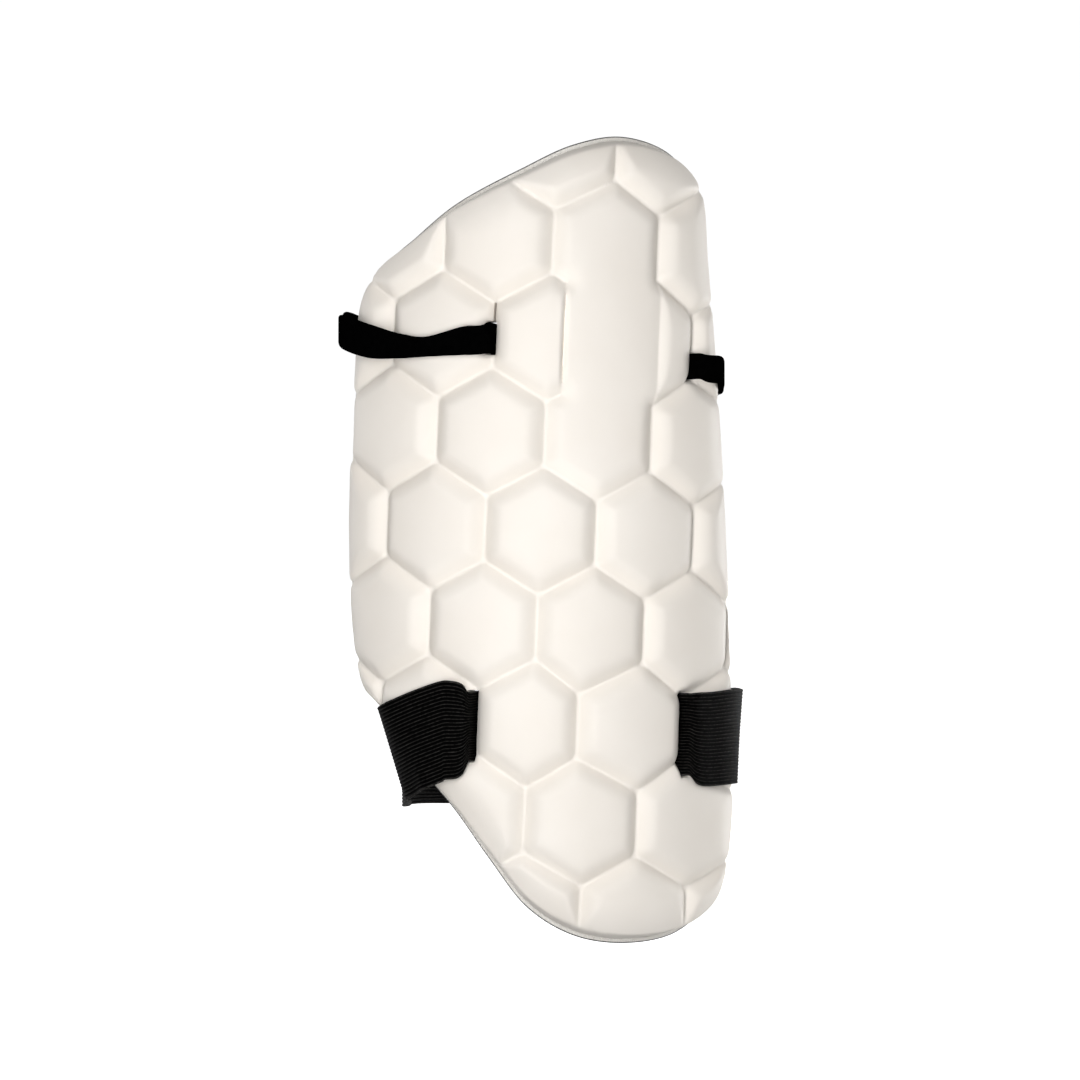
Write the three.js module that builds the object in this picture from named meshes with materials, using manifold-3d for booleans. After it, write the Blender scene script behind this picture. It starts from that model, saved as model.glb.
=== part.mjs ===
// Thigh pad: moulded hexagon-cell foam front, thin backing sheet and two strap loops.
// Millimetres, +Z up, the pad's face towards -Y, the thigh's axis on Z.
import * as THREE from "three";
import Module from "manifold-3d";

const wasm = await Module();
wasm.setup();

// Bend of the pad round the thigh. "around" is arc length at the groove floors, "up" is height,
// "lift" is distance outward from the inner face of the backing sheet.
const BACK_RADIUS = 107;
const HALF_HEIGHT = 200;
const END_BOW = 8;

// Thicknesses of the pad, as lifts
const LINER_FACE = 2;
const SHELL_BACK = 2.3;
const RIM_EDGE = 4.5;
const RIM_FLOOR = 10.5;
const GROOVE_FLOOR = 11;
const PLATE_TOP = 15.5;
const CELL_TOP = 18;
const GIRTH_RADIUS = BACK_RADIUS + GROOVE_FLOOR;

// A cell rises in a flank beside its groove and in a low dome across it, the plate in the flank alone,
// and both in the dome alone from the rim. How far these and the steep edge of the foam reach, how steep
// they start, and the flank's share.
const FLANK_REACH = 9;
const FLANK_POWER = 1.8;
const FLANK_SHARE = 0.68;
const DOME_REACH = 22;
const DOME_POWER = 2;
const EDGE_REACH = 2.5;
const LIP = 2.5;

// Hexagon grid: pointed-top cells, leaning a little to the right at the top
const PITCH = 55.3;
const ROW_PITCH = (PITCH * Math.sqrt(3)) / 2;
const CORNER_REACH = PITCH / Math.sqrt(3);
const GRID = { around: 1.85, up: 4.6, lean: THREE.MathUtils.degToRad(2.5) };
const GRID_ROWS = 5;
const GRID_COLUMNS = 7;

// Upright grooves that lie off the even grid; columns are half pitches
const GROOVE_SHIFTS = [
  { row: 4, column: 1, aside: 2.5 },
  { row: 2, column: 3, aside: -4.6 },
  { row: -2, column: 1, aside: -5.3 },
  { row: -2, column: 3, aside: -3.6 },
  { row: -3, column: 0, aside: -2 },
  { row: -3, column: 4, aside: 13 },
  { row: -4, column: 3, aside: 3.5 },
];

// The upright groove that each corner of a cell belongs to, counted from the cell's own row and column
const CORNER_GROOVES = [
  { row: 0, column: 1 },
  { row: 1, column: 0 },
  { row: 0, column: -1 },
  { row: 0, column: -1 },
  { row: -1, column: 0 },
  { row: 0, column: 1 },
];

// The long plate takes the place of two cells and of the stretch between them
const PLATE = { upperRow: 3, middleRow: 2, lowerRow: 1, column: 1, left: 7, right: PITCH };

// Its straight sides: a sharp crease on the left, a gentle rise to the cell on the right. A side counts as
// straight if it is upright and level with the plate's middle to within this share.
const STRAIGHT_SHARE = 0.2;
const CREASES = { left: { floor: 13.6, reach: 1.8 }, right: { floor: 15.1, reach: 6 } };

// Outer edge of the backing sheet, anticlockwise from the top, as seen from the front
const OUTLINE = [
  { around: 48, up: 201.5 },
  { around: 20, up: 197 },
  { around: -9, up: 184.5 },
  { around: -45, up: 167.5 },
  { around: -70, up: 151.5 },
  { around: -91, up: 138.5 },
  { around: -104, up: 121 },
  { around: -109.5, up: 80 },
  { around: -114, up: 5 },
  { around: -110.5, up: -48 },
  { around: -101.5, up: -76.3 },
  { around: -89, up: -87 },
  { around: -76, up: -105 },
  { around: -46, up: -134 },
  { around: -26, up: -158.5 },
  { around: -5, up: -183 },
  { around: 20, up: -197 },
  { around: 50, up: -201.5 },
  { around: 84, up: -197 },
  { around: 108, up: -182.5 },
  { around: 119.5, up: -150 },
  { around: 120.5, up: -110 },
  { around: 115, up: 0 },
  { around: 106.5, up: 90 },
  { around: 100.5, up: 140 },
  { around: 95.5, up: 177 },
  { around: 80, up: 193 },
];
const OUTLINE_SAMPLES = 116;

// Mesh fineness, and how near two places are to count as one
const SAME_POINT = 0.01;
const ON_LINE = 1e-6;
const KEYS_PER_MM = 500;
const EDGE_STEP = 8;
const RINGS = [
  { inset: 3, limit: 0.25 },
  { inset: 8.5, limit: 0.5 },
  { inset: 16, limit: 0.75 },
];
const BAND_HEIGHT = 50;
const STRIP = 10;

// Slits through the pad, each in the upright groove at this row and column (columns in half pitches), or
// aside of its middle. The upper left one runs on above its strap as a narrow cut.
const SLIT_GAP = { strap: 4.8, cut: 1.2 };
const SLITS = {
  upperLeft: { row: 2, column: -1, aside: -1, up: 100, length: 16.4, gap: SLIT_GAP.strap },
  upperLeftCut: { row: 2, column: -1, aside: 0, up: 113, length: 10, gap: SLIT_GAP.cut },
  upperRight: { row: 2, column: 3, aside: 0, up: 87, length: 14, gap: SLIT_GAP.strap },
  lowerLeft: { row: -2, column: -1, aside: -2.6, up: -92.4, length: 36, gap: SLIT_GAP.strap },
  lowerRight: { row: -2, column: 3, aside: 1.3, up: -97.3, length: 43.2, gap: SLIT_GAP.strap },
};

// Straps. At a slit the strap is gathered, and spreads open on the pad's face beside it. Rows on the pad
// run on outward from there; side rows lead off the pad towards the rear, which is an oval with its own
// heights at the right, back and left. Twist is in degrees. A section stands upright where the strap is
// gathered (square 0), turns from there and is square to the strap's run elsewhere (square 1).
const STRAP_CLEARANCE = 0.7;
const SLIT_BEND = [
  { outward: 11, below: 0, spread: 1 },
  { outward: 5.5, below: 0.1, spread: 0.92 },
  { outward: 2.2, below: 0.4, spread: 0.66 },
  { outward: 0.6, below: 2.5, spread: 0 },
  { outward: 0, lift: 13, spread: 0 },
  { outward: 0, lift: 6, spread: 0 },
  { outward: 0, lift: 0.4, spread: 0 },
  { outward: -0.7, behind: -0.2, spread: 0 },
  { outward: -3.5, behind: 0, spread: 0 },
];
const BEHIND_STEPS = 6;
const REAR_RIGHT = [84, 63, 42, 21, 0];
const REAR_LEFT = [
  { degrees: 180, lapped: 0 },
  { degrees: 156, lapped: 0 },
  { degrees: 134, lapped: 0.15 },
  { degrees: 114, lapped: 0.6 },
  { degrees: 96, lapped: 1 },
  { degrees: 76, lapped: 1 },
  { degrees: 58, lapped: 1 },
];
const STRAPS = [
  {
    name: "upper_strap",
    thick: 3,
    rear: { middle: -2.5, halfWidth: 95.5, behind: -2, depth: 95, width: 18 },
    rearHeights: { right: 84, back: 100, left: 109.8 },
    rightSide: [{ x: 93.2, y: -64, up: 82, width: 14, twist: 0 }],
    rightRows: [],
    rightSlit: { slit: SLITS.upperRight, up: 87, width: 13, openUp: 85.5, openWidth: 14 },
    leftSlit: { slit: SLITS.upperLeft, up: 100, width: 15.4, openUp: 98.6, openWidth: 14.3 },
    leftRows: [
      { around: -53, up: 95.9, width: 10, square: 1 },
      { around: -66, up: 96.4, width: 12.2, square: 1 },
      { around: -84, up: 99.2, width: 16.5, square: 1 },
      { around: -102, up: 104.4, width: 16.8, square: 1 },
    ],
    leftSide: [{ x: -99.3, y: -55, up: 108.3, width: 13, twist: 0 }],
  },
  {
    name: "lower_strap",
    thick: 1.5,
    rear: { middle: 16.5, halfWidth: 86, behind: 2, depth: 88, width: 48 },
    rearHeights: { right: -101, back: -119.5, left: -115 },
    rightSide: [{ x: 102.8, y: -50, up: -100, width: 48, twist: -4 }],
    rightRows: [{ around: 107, up: -99, width: 48, square: 1 }],
    rightSlit: { slit: SLITS.lowerRight, up: -97.3, width: 41.5, openUp: -99.8, openWidth: 47.5 },
    leftSlit: { slit: SLITS.lowerLeft, up: -92.4, width: 35, openUp: -94.2, openWidth: 49.5 },
    leftRows: [
      { around: -46, up: -95, width: 49.5, square: 0.2 },
      { around: -60, up: -100.5, width: 48.5, square: 0.7 },
    ],
    leftSide: [
      { x: -71.2, y: -98, up: -106, width: 48.5, twist: -14 },
      { x: -71.4, y: -78, up: -109.5, width: 48.5, twist: -19 },
      { x: -70, y: -42, up: -112.5, width: 48, twist: -12 },
    ],
  },
];
const STRAP_STEP = 7;
const STRAP_STEPS_MOST = 6;
const STRAP_EASE = 0.4;
const STRAP_CORNERS = 6;

const FINISHES = {
  pad_shell: { color: 0xf3f1ec, roughness: 0.55, metalness: 0 },
  back_liner: { color: 0xe9e7e2, roughness: 0.8, metalness: 0 },
  upper_strap: { color: 0x17171a, roughness: 0.85, metalness: 0 },
  lower_strap: { color: 0x121214, roughness: 0.85, metalness: 0 },
};

// A point of the flat pattern, bent round the thigh
function wrap(around, up, lift) {
  const angle = around / GIRTH_RADIUS;
  const radius = BACK_RADIUS + lift;
  const bow = END_BOW * (up / HALF_HEIGHT) ** 2;
  return new THREE.Vector3(radius * Math.sin(angle), bow - radius * Math.cos(angle), up);
}

// A point of the straight hexagon grid, laid on the flat pattern
function onPattern(across, along) {
  const c = Math.cos(GRID.lean);
  const s = Math.sin(GRID.lean);
  return new THREE.Vector2(GRID.around + across * c + along * s, GRID.up - across * s + along * c);
}

// How far across the straight grid a point of the flat pattern lies
function gridAcross(point) {
  return (point.x - GRID.around) * Math.cos(GRID.lean) - (point.y - GRID.up) * Math.sin(GRID.lean);
}

function grooveAside(row, column) {
  return GROOVE_SHIFTS.find((shift) => shift.row === row && shift.column === column)?.aside ?? 0;
}

function hexagon(row, column) {
  return CORNER_GROOVES.map((groove, i) => {
    const angle = Math.PI / 6 + (i * Math.PI) / 3;
    const across = (column * PITCH) / 2 + CORNER_REACH * Math.cos(angle);
    const along = row * ROW_PITCH + CORNER_REACH * Math.sin(angle);
    const corner = onPattern(across, along);
    corner.x += grooveAside(row + groove.row, column + groove.column);
    return corner;
  });
}

// Keeps the side of a polygon where the signed distance is not negative
function clipBySide(polygon, distance) {
  const kept = [];
  polygon.forEach((point, i) => {
    const next = polygon[(i + 1) % polygon.length];
    const here = distance(point);
    const there = distance(next);
    if (here >= 0) kept.push(point);
    if (here * there < 0) kept.push(point.clone().lerp(next, here / (here - there)));
  });
  return kept;
}

function clipByConvex(polygon, convex) {
  let kept = polygon;
  convex.forEach((from, i) => {
    const to = convex[(i + 1) % convex.length];
    const side = to.clone().sub(from).normalize();
    kept = clipBySide(kept, (p) => side.cross(p.clone().sub(from)));
  });
  return kept;
}

function isSame(a, b) {
  return a.distanceTo(b) < SAME_POINT;
}

function distanceToSegment(point, from, to) {
  const span = to.clone().sub(from);
  const share = THREE.MathUtils.clamp(point.clone().sub(from).dot(span) / span.lengthSq(), 0, 1);
  return point.distanceTo(from.clone().addScaledVector(span, share));
}

function distanceToLoop(point, loop) {
  let best = Infinity;
  loop.forEach((from, i) => {
    best = Math.min(best, distanceToSegment(point, from, loop[(i + 1) % loop.length]));
  });
  return best;
}

// Closed smooth outline of the backing sheet, and the same drawn in by the lip for the foam
function linerOutline() {
  const knots = OUTLINE.map((row) => new THREE.Vector3(row.around, row.up, 0));
  const curve = new THREE.CatmullRomCurve3(knots, true, "centripetal");
  const spaced = curve.getSpacedPoints(OUTLINE_SAMPLES).slice(0, OUTLINE_SAMPLES);
  return spaced.map((p) => new THREE.Vector2(p.x, p.y));
}

function drawnIn(outline, inset) {
  return outline.map((point, i) => {
    const before = outline[(i + outline.length - 1) % outline.length];
    const after = outline[(i + 1) % outline.length];
    const run = after.clone().sub(before).normalize();
    return new THREE.Vector2(point.x - run.y * inset, point.y + run.x * inset);
  });
}

// Cells of the grid as convex polygons on the flat pattern; the plate is made of several of them
function gridCells() {
  const cells = [];
  const keep = (corners, plate) => cells.push({ corners, plate });
  for (let row = -GRID_ROWS; row <= GRID_ROWS; row += 1) {
    const odd = Math.abs(row % 2);
    for (let column = odd - GRID_COLUMNS - 1; column <= GRID_COLUMNS + 1; column += 2) {
      const cell = hexagon(row, column);
      if (row === PLATE.middleRow && column === PLATE.column - 1) {
        keep(clipBySide(cell, (p) => PLATE.left - gridAcross(p)), false);
        keep(clipBySide(cell, (p) => gridAcross(p) - PLATE.left), true);
      } else if (row === PLATE.middleRow && column === PLATE.column + 1) {
        keep(clipBySide(cell, (p) => PLATE.right - gridAcross(p)), true);
        keep(clipBySide(cell, (p) => gridAcross(p) - PLATE.right), false);
      } else {
        keep(cell, column === PLATE.column && (row === PLATE.upperRow || row === PLATE.lowerRow));
      }
    }
  }
  return cells;
}

// Puts in the corners of neighbouring cells that lie on this polygon's sides
function withTouchingCorners(polygon, corners) {
  const full = [];
  polygon.forEach((from, i) => {
    const to = polygon[(i + 1) % polygon.length];
    const touching = corners.filter(
      (c) => !isSame(c, from) && !isSame(c, to) && distanceToSegment(c, from, to) < ON_LINE,
    );
    touching.sort((a, b) => a.distanceTo(from) - b.distanceTo(from));
    full.push(from);
    touching.forEach((c) => {
      if (!isSame(full[full.length - 1], c)) full.push(c);
    });
  });
  return full;
}

// Sides between two cells are grooves; between a cell and the plate's straight side, a crease with its
// own reach; inside the plate, nothing
function grooveLines(cells, corners) {
  const sides = new Map();
  cells.forEach((cell) => {
    const ring = withTouchingCorners(cell.corners, corners);
    ring.forEach((from, i) => {
      const to = ring[(i + 1) % ring.length];
      const key = pointKey(from.clone().add(to).multiplyScalar(0.5));
      const side = sides.get(key) ?? { from, to, plates: 0, owners: 0 };
      side.plates += cell.plate ? 1 : 0;
      side.owners += 1;
      sides.set(key, side);
    });
  });
  const grooves = [];
  const plateMiddle = onPattern((PLATE.column * PITCH) / 2, PLATE.middleRow * ROW_PITCH);
  const plain = { floor: GROOVE_FLOOR };
  sides.forEach((side) => {
    const span = side.to.clone().sub(side.from);
    const middle = side.from.clone().lerp(side.to, 0.5);
    const upright = Math.abs(span.x) < Math.abs(span.y) * STRAIGHT_SHARE;
    const level = Math.abs(middle.y - plateMiddle.y) < ROW_PITCH * STRAIGHT_SHARE;
    const crease = middle.x < plateMiddle.x ? CREASES.left : CREASES.right;
    const straight = side.plates === 1 && upright && level;
    if (side.plates < 2) grooves.push({ from: side.from, to: side.to, ...(straight ? crease : plain) });
  });
  return grooves;
}

function pointKey(point) {
  return `${Math.round(point.x * KEYS_PER_MM)}_${Math.round(point.y * KEYS_PER_MM)}`;
}

// From 0 at the start to 1 at the reach, steep at first
function eased(distance, reach, power) {
  return 1 - (1 - Math.min(distance / reach, 1)) ** power;
}

// Share of the way from a groove's floor to the top, for a flank and a dome together
function rise(distance, domeShare) {
  const flank = eased(distance, FLANK_REACH, FLANK_POWER);
  return THREE.MathUtils.lerp(flank, eased(distance, DOME_REACH, DOME_POWER), domeShare);
}

// Lift of the moulded face at a point of the flat pattern
function faceLift(point, plate, grooves, rim) {
  const top = plate ? PLATE_TOP : CELL_TOP;
  const domeShare = plate ? 0 : 1 - FLANK_SHARE;
  const rimDistance = distanceToLoop(point, rim);
  let lift = RIM_FLOOR + (top - RIM_FLOOR) * eased(rimDistance, DOME_REACH, DOME_POWER);
  grooves.forEach((groove) => {
    const distance = distanceToSegment(point, groove.from, groove.to);
    const share = groove.reach ? eased(distance, groove.reach, FLANK_POWER) : rise(distance, domeShare);
    lift = Math.min(lift, groove.floor + (top - groove.floor) * share);
  });
  return RIM_EDGE + (lift - RIM_EDGE) * eased(rimDistance, EDGE_REACH, DOME_POWER);
}

// Indexed mesh under construction, with shared points found by their place on the flat pattern
class Sheet {
  constructor() {
    this.points = [];
    this.flat = [];
    this.triangles = [];
  }

  surface(liftAt) {
    const known = new Map();
    return (point) => {
      const key = pointKey(point);
      if (!known.has(key)) {
        known.set(key, this.points.length);
        this.points.push(wrap(point.x, point.y, liftAt(point)));
        this.flat.push(point.clone());
      }
      return known.get(key);
    };
  }

  add(a, b, c) {
    if (a !== b && b !== c && c !== a) this.triangles.push([a, b, c]);
  }
}

// Sides cut into short steps; the same side gives the same points from either end
function inSteps(polygon) {
  const stepped = [];
  polygon.forEach((from, i) => {
    const to = polygon[(i + 1) % polygon.length];
    const count = Math.max(1, Math.round(from.distanceTo(to) / EDGE_STEP));
    for (let k = 0; k < count; k += 1) stepped.push(from.clone().lerp(to, k / count));
  });
  return stepped;
}

function centroid(polygon) {
  let area = 0;
  const sum = new THREE.Vector2();
  polygon.forEach((from, i) => {
    const to = polygon[(i + 1) % polygon.length];
    const cross = from.cross(to);
    area += cross;
    sum.addScaledVector(from.clone().add(to), cross / 3);
  });
  return sum.divideScalar(area);
}

// Fills a cell with rings drawn towards its middle
function fillCell(sheet, vertex, polygon) {
  const boundary = inSteps(polygon);
  const middle = centroid(polygon);
  const count = boundary.length;
  const sideReach = boundary.map((from, i) => {
    const run = boundary[(i + 1) % count].clone().sub(from).normalize();
    return Math.abs(run.cross(middle.clone().sub(from)));
  });
  let outer = boundary.map(vertex);
  RINGS.forEach((ring) => {
    const inner = boundary.map((point, i) => {
      const reach = Math.min(sideReach[i], sideReach[(i + count - 1) % count]);
      const share = Math.min(ring.inset / Math.max(reach, SAME_POINT), ring.limit);
      return vertex(point.clone().lerp(middle, share));
    });
    outer.forEach((a, i) => {
      const b = outer[(i + 1) % count];
      const c = inner[(i + 1) % count];
      const d = inner[i];
      sheet.add(a, b, c);
      sheet.add(a, c, d);
    });
    outer = inner;
  });
  const hub = vertex(middle);
  outer.forEach((a, i) => sheet.add(a, outer[(i + 1) % count], hub));
}

// Fills an outline with level bands of narrow upright strips, for a plain bent face
function fillBands(sheet, vertex, outline, facingOut) {
  const bands = Math.ceil((2 * HALF_HEIGHT) / BAND_HEIGHT / 2) + 1;
  for (let k = -bands; k < bands; k += 1) {
    const low = k * BAND_HEIGHT;
    const high = low + BAND_HEIGHT;
    let band = clipBySide(outline, (p) => p.y - low);
    band = clipBySide(band, (p) => high - p.y);
    if (band.length > 2) fillBand(sheet, vertex, withStations(band, [low, high]), facingOut);
  }
}

function withStations(band, levels) {
  const full = [];
  band.forEach((from, i) => {
    const to = band[(i + 1) % band.length];
    full.push(from);
    const level = levels.find((v) => Math.abs(from.y - v) < ON_LINE && Math.abs(to.y - v) < ON_LINE);
    if (level === undefined) return;
    const first = Math.ceil(Math.min(from.x, to.x) / STRIP);
    const last = Math.floor(Math.max(from.x, to.x) / STRIP);
    const stations = [];
    for (let n = first; n <= last; n += 1) stations.push(new THREE.Vector2(n * STRIP, level));
    if (to.x < from.x) stations.reverse();
    full.push(...stations.filter((p) => !isSame(p, from) && !isSame(p, to)));
  });
  return full;
}

function fillBand(sheet, vertex, band, facingOut) {
  const count = band.length;
  let left = 0;
  let right = 0;
  band.forEach((p, i) => {
    if (p.x < band[left].x) left = i;
    if (p.x > band[right].x) right = i;
  });
  const lower = [];
  for (let i = left; i !== right; i = (i + 1) % count) lower.push(band[i]);
  lower.push(band[right]);
  const upper = [];
  for (let i = left; i !== right; i = (i + count - 1) % count) upper.push(band[i]);
  upper.push(band[right]);
  let i = 0;
  let j = 0;
  while (i < lower.length - 1 || j < upper.length - 1) {
    const lowerNext = i < lower.length - 1 ? lower[i + 1].x : Infinity;
    const upperNext = j < upper.length - 1 ? upper[j + 1].x : Infinity;
    const a = vertex(lower[i]);
    const b = vertex(upper[j]);
    let c;
    if (lowerNext <= upperNext) {
      i += 1;
      c = vertex(lower[i]);
    } else {
      j += 1;
      c = vertex(upper[j]);
    }
    if (facingOut) sheet.add(a, c, b);
    else sheet.add(a, b, c);
  }
}

// The open edge of a run of triangles, in order
function openLoop(triangles) {
  const next = new Map();
  const seen = new Set();
  triangles.forEach((t) => t.forEach((a, i) => seen.add(`${a}_${t[(i + 1) % 3]}`)));
  triangles.forEach((t) => {
    t.forEach((a, i) => {
      const b = t[(i + 1) % 3];
      if (!seen.has(`${b}_${a}`)) next.set(a, b);
    });
  });
  const start = next.keys().next().value;
  const loop = [start];
  for (let at = next.get(start); at !== start; at = next.get(at)) loop.push(at);
  return loop;
}

// Position along a closed outline, as side number plus share of the side
function placeOnLoop(point, loop) {
  let best = Infinity;
  let place = 0;
  loop.forEach((from, i) => {
    const to = loop[(i + 1) % loop.length];
    const distance = distanceToSegment(point, from, to);
    if (distance < best - ON_LINE) {
      best = distance;
      const span = to.clone().sub(from);
      const share = point.clone().sub(from).dot(span) / span.lengthSq();
      place = i + THREE.MathUtils.clamp(share, 0, 1 - ON_LINE);
    }
  });
  return place;
}

function fromFirst(loop, places) {
  let first = 0;
  places.forEach((p, i) => {
    if (p < places[first]) first = i;
  });
  const turn = (list) => [...list.slice(first), ...list.slice(0, first)];
  return { loop: turn(loop), places: turn(places) };
}

// Closes the edge between the face and the back with a narrow wall
function stitchEdge(sheet, faceTriangles, backTriangles, outline) {
  const faceLoop = openLoop(faceTriangles);
  const backLoop = openLoop(backTriangles).reverse();
  const face = fromFirst(faceLoop, faceLoop.map((v) => placeOnLoop(sheet.flat[v], outline)));
  const back = fromFirst(backLoop, backLoop.map((v) => placeOnLoop(sheet.flat[v], outline)));
  const placeAt = (ring, n) => (n < ring.places.length ? ring.places[n] : outline.length + ring.places[0]);
  let i = 0;
  let j = 0;
  while (i < face.loop.length || j < back.loop.length) {
    const a = face.loop[i % face.loop.length];
    const b = back.loop[j % back.loop.length];
    const faceLeft = i < face.loop.length;
    const backLeft = j < back.loop.length;
    const faceFirst = !backLeft || (faceLeft && placeAt(face, i + 1) <= placeAt(back, j + 1));
    if (faceFirst) {
      i += 1;
      sheet.add(face.loop[i % face.loop.length], a, b);
    } else {
      j += 1;
      sheet.add(b, back.loop[j % back.loop.length], a);
    }
  }
}

function solidOf(points, triangles) {
  const vertProperties = new Float32Array(points.flatMap((p) => [p.x, p.y, p.z]));
  const triVerts = new Uint32Array(triangles.flat());
  return new wasm.Manifold(new wasm.Mesh({ numProp: 3, vertProperties, triVerts }));
}

function meshOf(name, solid) {
  const mesh = solid.getMesh();
  const geometry = new THREE.BufferGeometry();
  const positions = [];
  for (let i = 0; i < mesh.vertProperties.length; i += mesh.numProp) {
    positions.push(mesh.vertProperties[i], mesh.vertProperties[i + 1], mesh.vertProperties[i + 2]);
  }
  geometry.setAttribute("position", new THREE.Float32BufferAttribute(positions, 3));
  geometry.setIndex(Array.from(mesh.triVerts));
  geometry.computeVertexNormals();
  const named = new THREE.Mesh(geometry, new THREE.MeshStandardMaterial(FINISHES[name]));
  named.name = name;
  return named;
}

// Where a slit lies on its leaning groove
function slitAround(slit) {
  const middle = onPattern((slit.column * PITCH) / 2, slit.row * ROW_PITCH);
  const aside = grooveAside(slit.row, slit.column) + slit.aside;
  return middle.x + aside + (slit.up - middle.y) * Math.tan(GRID.lean);
}

// Upright slot cutter across the whole thickness of the pad
function slitCutter(slit) {
  const depth = 2 * CELL_TOP;
  const box = new THREE.BoxGeometry(slit.gap, depth, slit.length).toNonIndexed();
  const place = new THREE.Matrix4();
  const around = slitAround(slit);
  const angle = around / GIRTH_RADIUS;
  place.makeRotationZ(angle).multiply(new THREE.Matrix4().makeRotationY(GRID.lean));
  place.setPosition(wrap(around, slit.up, GROOVE_FLOOR / 2));
  box.applyMatrix4(place);
  const position = box.getAttribute("position");
  const corners = [];
  const triangles = [];
  for (let i = 0; i < position.count; i += 1) {
    const corner = new THREE.Vector3().fromBufferAttribute(position, i);
    let at = corners.findIndex((c) => c.distanceTo(corner) < SAME_POINT);
    if (at < 0) {
      at = corners.length;
      corners.push(corner);
    }
    if (i % 3 === 0) triangles.push([]);
    triangles[triangles.length - 1].push(at);
  }
  return solidOf(corners, triangles);
}

function cutSlits(solid) {
  return Object.values(SLITS).reduce((rest, slit) => rest.subtract(slitCutter(slit)), solid);
}

function padShell(outline) {
  const rim = drawnIn(outline, LIP);
  const cells = gridCells();
  const corners = cells.flatMap((cell) => cell.corners);
  const grooves = grooveLines(cells, corners);
  const sheet = new Sheet();
  let plate = false;
  const face = sheet.surface((point) => faceLift(point, plate, grooves, rim));
  cells.forEach((cell) => {
    const inside = clipByConvex(rim, cell.corners);
    plate = cell.plate;
    if (inside.length > 2) fillCell(sheet, face, withTouchingCorners(inside, corners));
  });
  const faceTriangles = sheet.triangles.slice();
  fillBands(sheet, sheet.surface(() => SHELL_BACK), rim, false);
  stitchEdge(sheet, faceTriangles, sheet.triangles.slice(faceTriangles.length), rim);
  return cutSlits(solidOf(sheet.points, sheet.triangles));
}

function backLiner(outline) {
  const sheet = new Sheet();
  fillBands(sheet, sheet.surface(() => LINER_FACE), outline, true);
  const faceTriangles = sheet.triangles.slice();
  fillBands(sheet, sheet.surface(() => 0), outline, false);
  stitchEdge(sheet, faceTriangles, sheet.triangles.slice(faceTriangles.length), outline);
  return cutSlits(solidOf(sheet.points, sheet.triangles));
}

// Knots of a strap's middle line, each with its width, its twist and how square its section is
function slitKnots(entry, thick, sideways) {
  const front = CELL_TOP + STRAP_CLEARANCE + thick / 2;
  const behind = -STRAP_CLEARANCE - thick / 2;
  return SLIT_BEND.map((bend) => {
    let lift = bend.lift;
    if (bend.below !== undefined) lift = front - bend.below;
    if (bend.behind !== undefined) lift = behind + bend.behind;
    const around = slitAround(entry.slit) + sideways * bend.outward;
    const up = THREE.MathUtils.lerp(entry.up, entry.openUp, bend.spread);
    const width = THREE.MathUtils.lerp(entry.width, entry.openWidth, bend.spread);
    const twist = bend.lift === undefined ? 0 : sideways * THREE.MathUtils.radToDeg(GRID.lean);
    return { point: wrap(around, up, lift), width, twist, square: 0 };
  });
}

// The stretch between the two slits, flat against the backing sheet
function behindKnots(strap) {
  const lift = -STRAP_CLEARANCE - strap.thick / 2;
  const from = { around: slitAround(strap.rightSlit.slit), ...strap.rightSlit };
  const to = { around: slitAround(strap.leftSlit.slit), ...strap.leftSlit };
  const knots = [];
  for (let k = 1; k < BEHIND_STEPS; k += 1) {
    const share = k / BEHIND_STEPS;
    const at = (column) => THREE.MathUtils.lerp(from[column], to[column], share);
    knots.push({ point: wrap(at("around"), at("up"), lift), width: at("width"), twist: 0, square: 1 });
  }
  return knots;
}

function padKnots(rows, thick) {
  const front = CELL_TOP + STRAP_CLEARANCE + thick / 2;
  return rows.map((row) => {
    const point = wrap(row.around, row.up, front);
    return { point, width: row.width, twist: 0, square: row.square };
  });
}

function sideKnots(rows) {
  return rows.map((row) => {
    const point = new THREE.Vector3(row.x, row.y, row.up);
    return { point, width: row.width, twist: row.twist, square: 1 };
  });
}

function rearKnot(strap, degrees, outward) {
  const { rear, rearHeights } = strap;
  const angle = THREE.MathUtils.degToRad(degrees);
  const side = Math.cos(angle);
  const back = Math.sin(angle);
  const sideHeight = side > 0 ? rearHeights.right : rearHeights.left;
  const point = new THREE.Vector3(
    rear.middle + (rear.halfWidth + outward) * side,
    rear.behind + (rear.depth + outward) * back,
    rearHeights.back * back * back + sideHeight * side * side,
  );
  return { point, width: rear.width, twist: 0, square: 1 };
}

function strapKnots(strap) {
  const lap = strap.thick + STRAP_CLEARANCE;
  return [
    ...REAR_RIGHT.map((degrees) => rearKnot(strap, degrees, 0)),
    ...sideKnots(strap.rightSide).reverse(),
    ...padKnots(strap.rightRows, strap.thick).reverse(),
    ...slitKnots(strap.rightSlit, strap.thick, 1),
    ...behindKnots(strap),
    ...slitKnots(strap.leftSlit, strap.thick, -1).reverse(),
    ...padKnots(strap.leftRows, strap.thick),
    ...sideKnots(strap.leftSide),
    ...REAR_LEFT.map((row) => rearKnot(strap, row.degrees, row.lapped * lap)),
  ];
}

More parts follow.
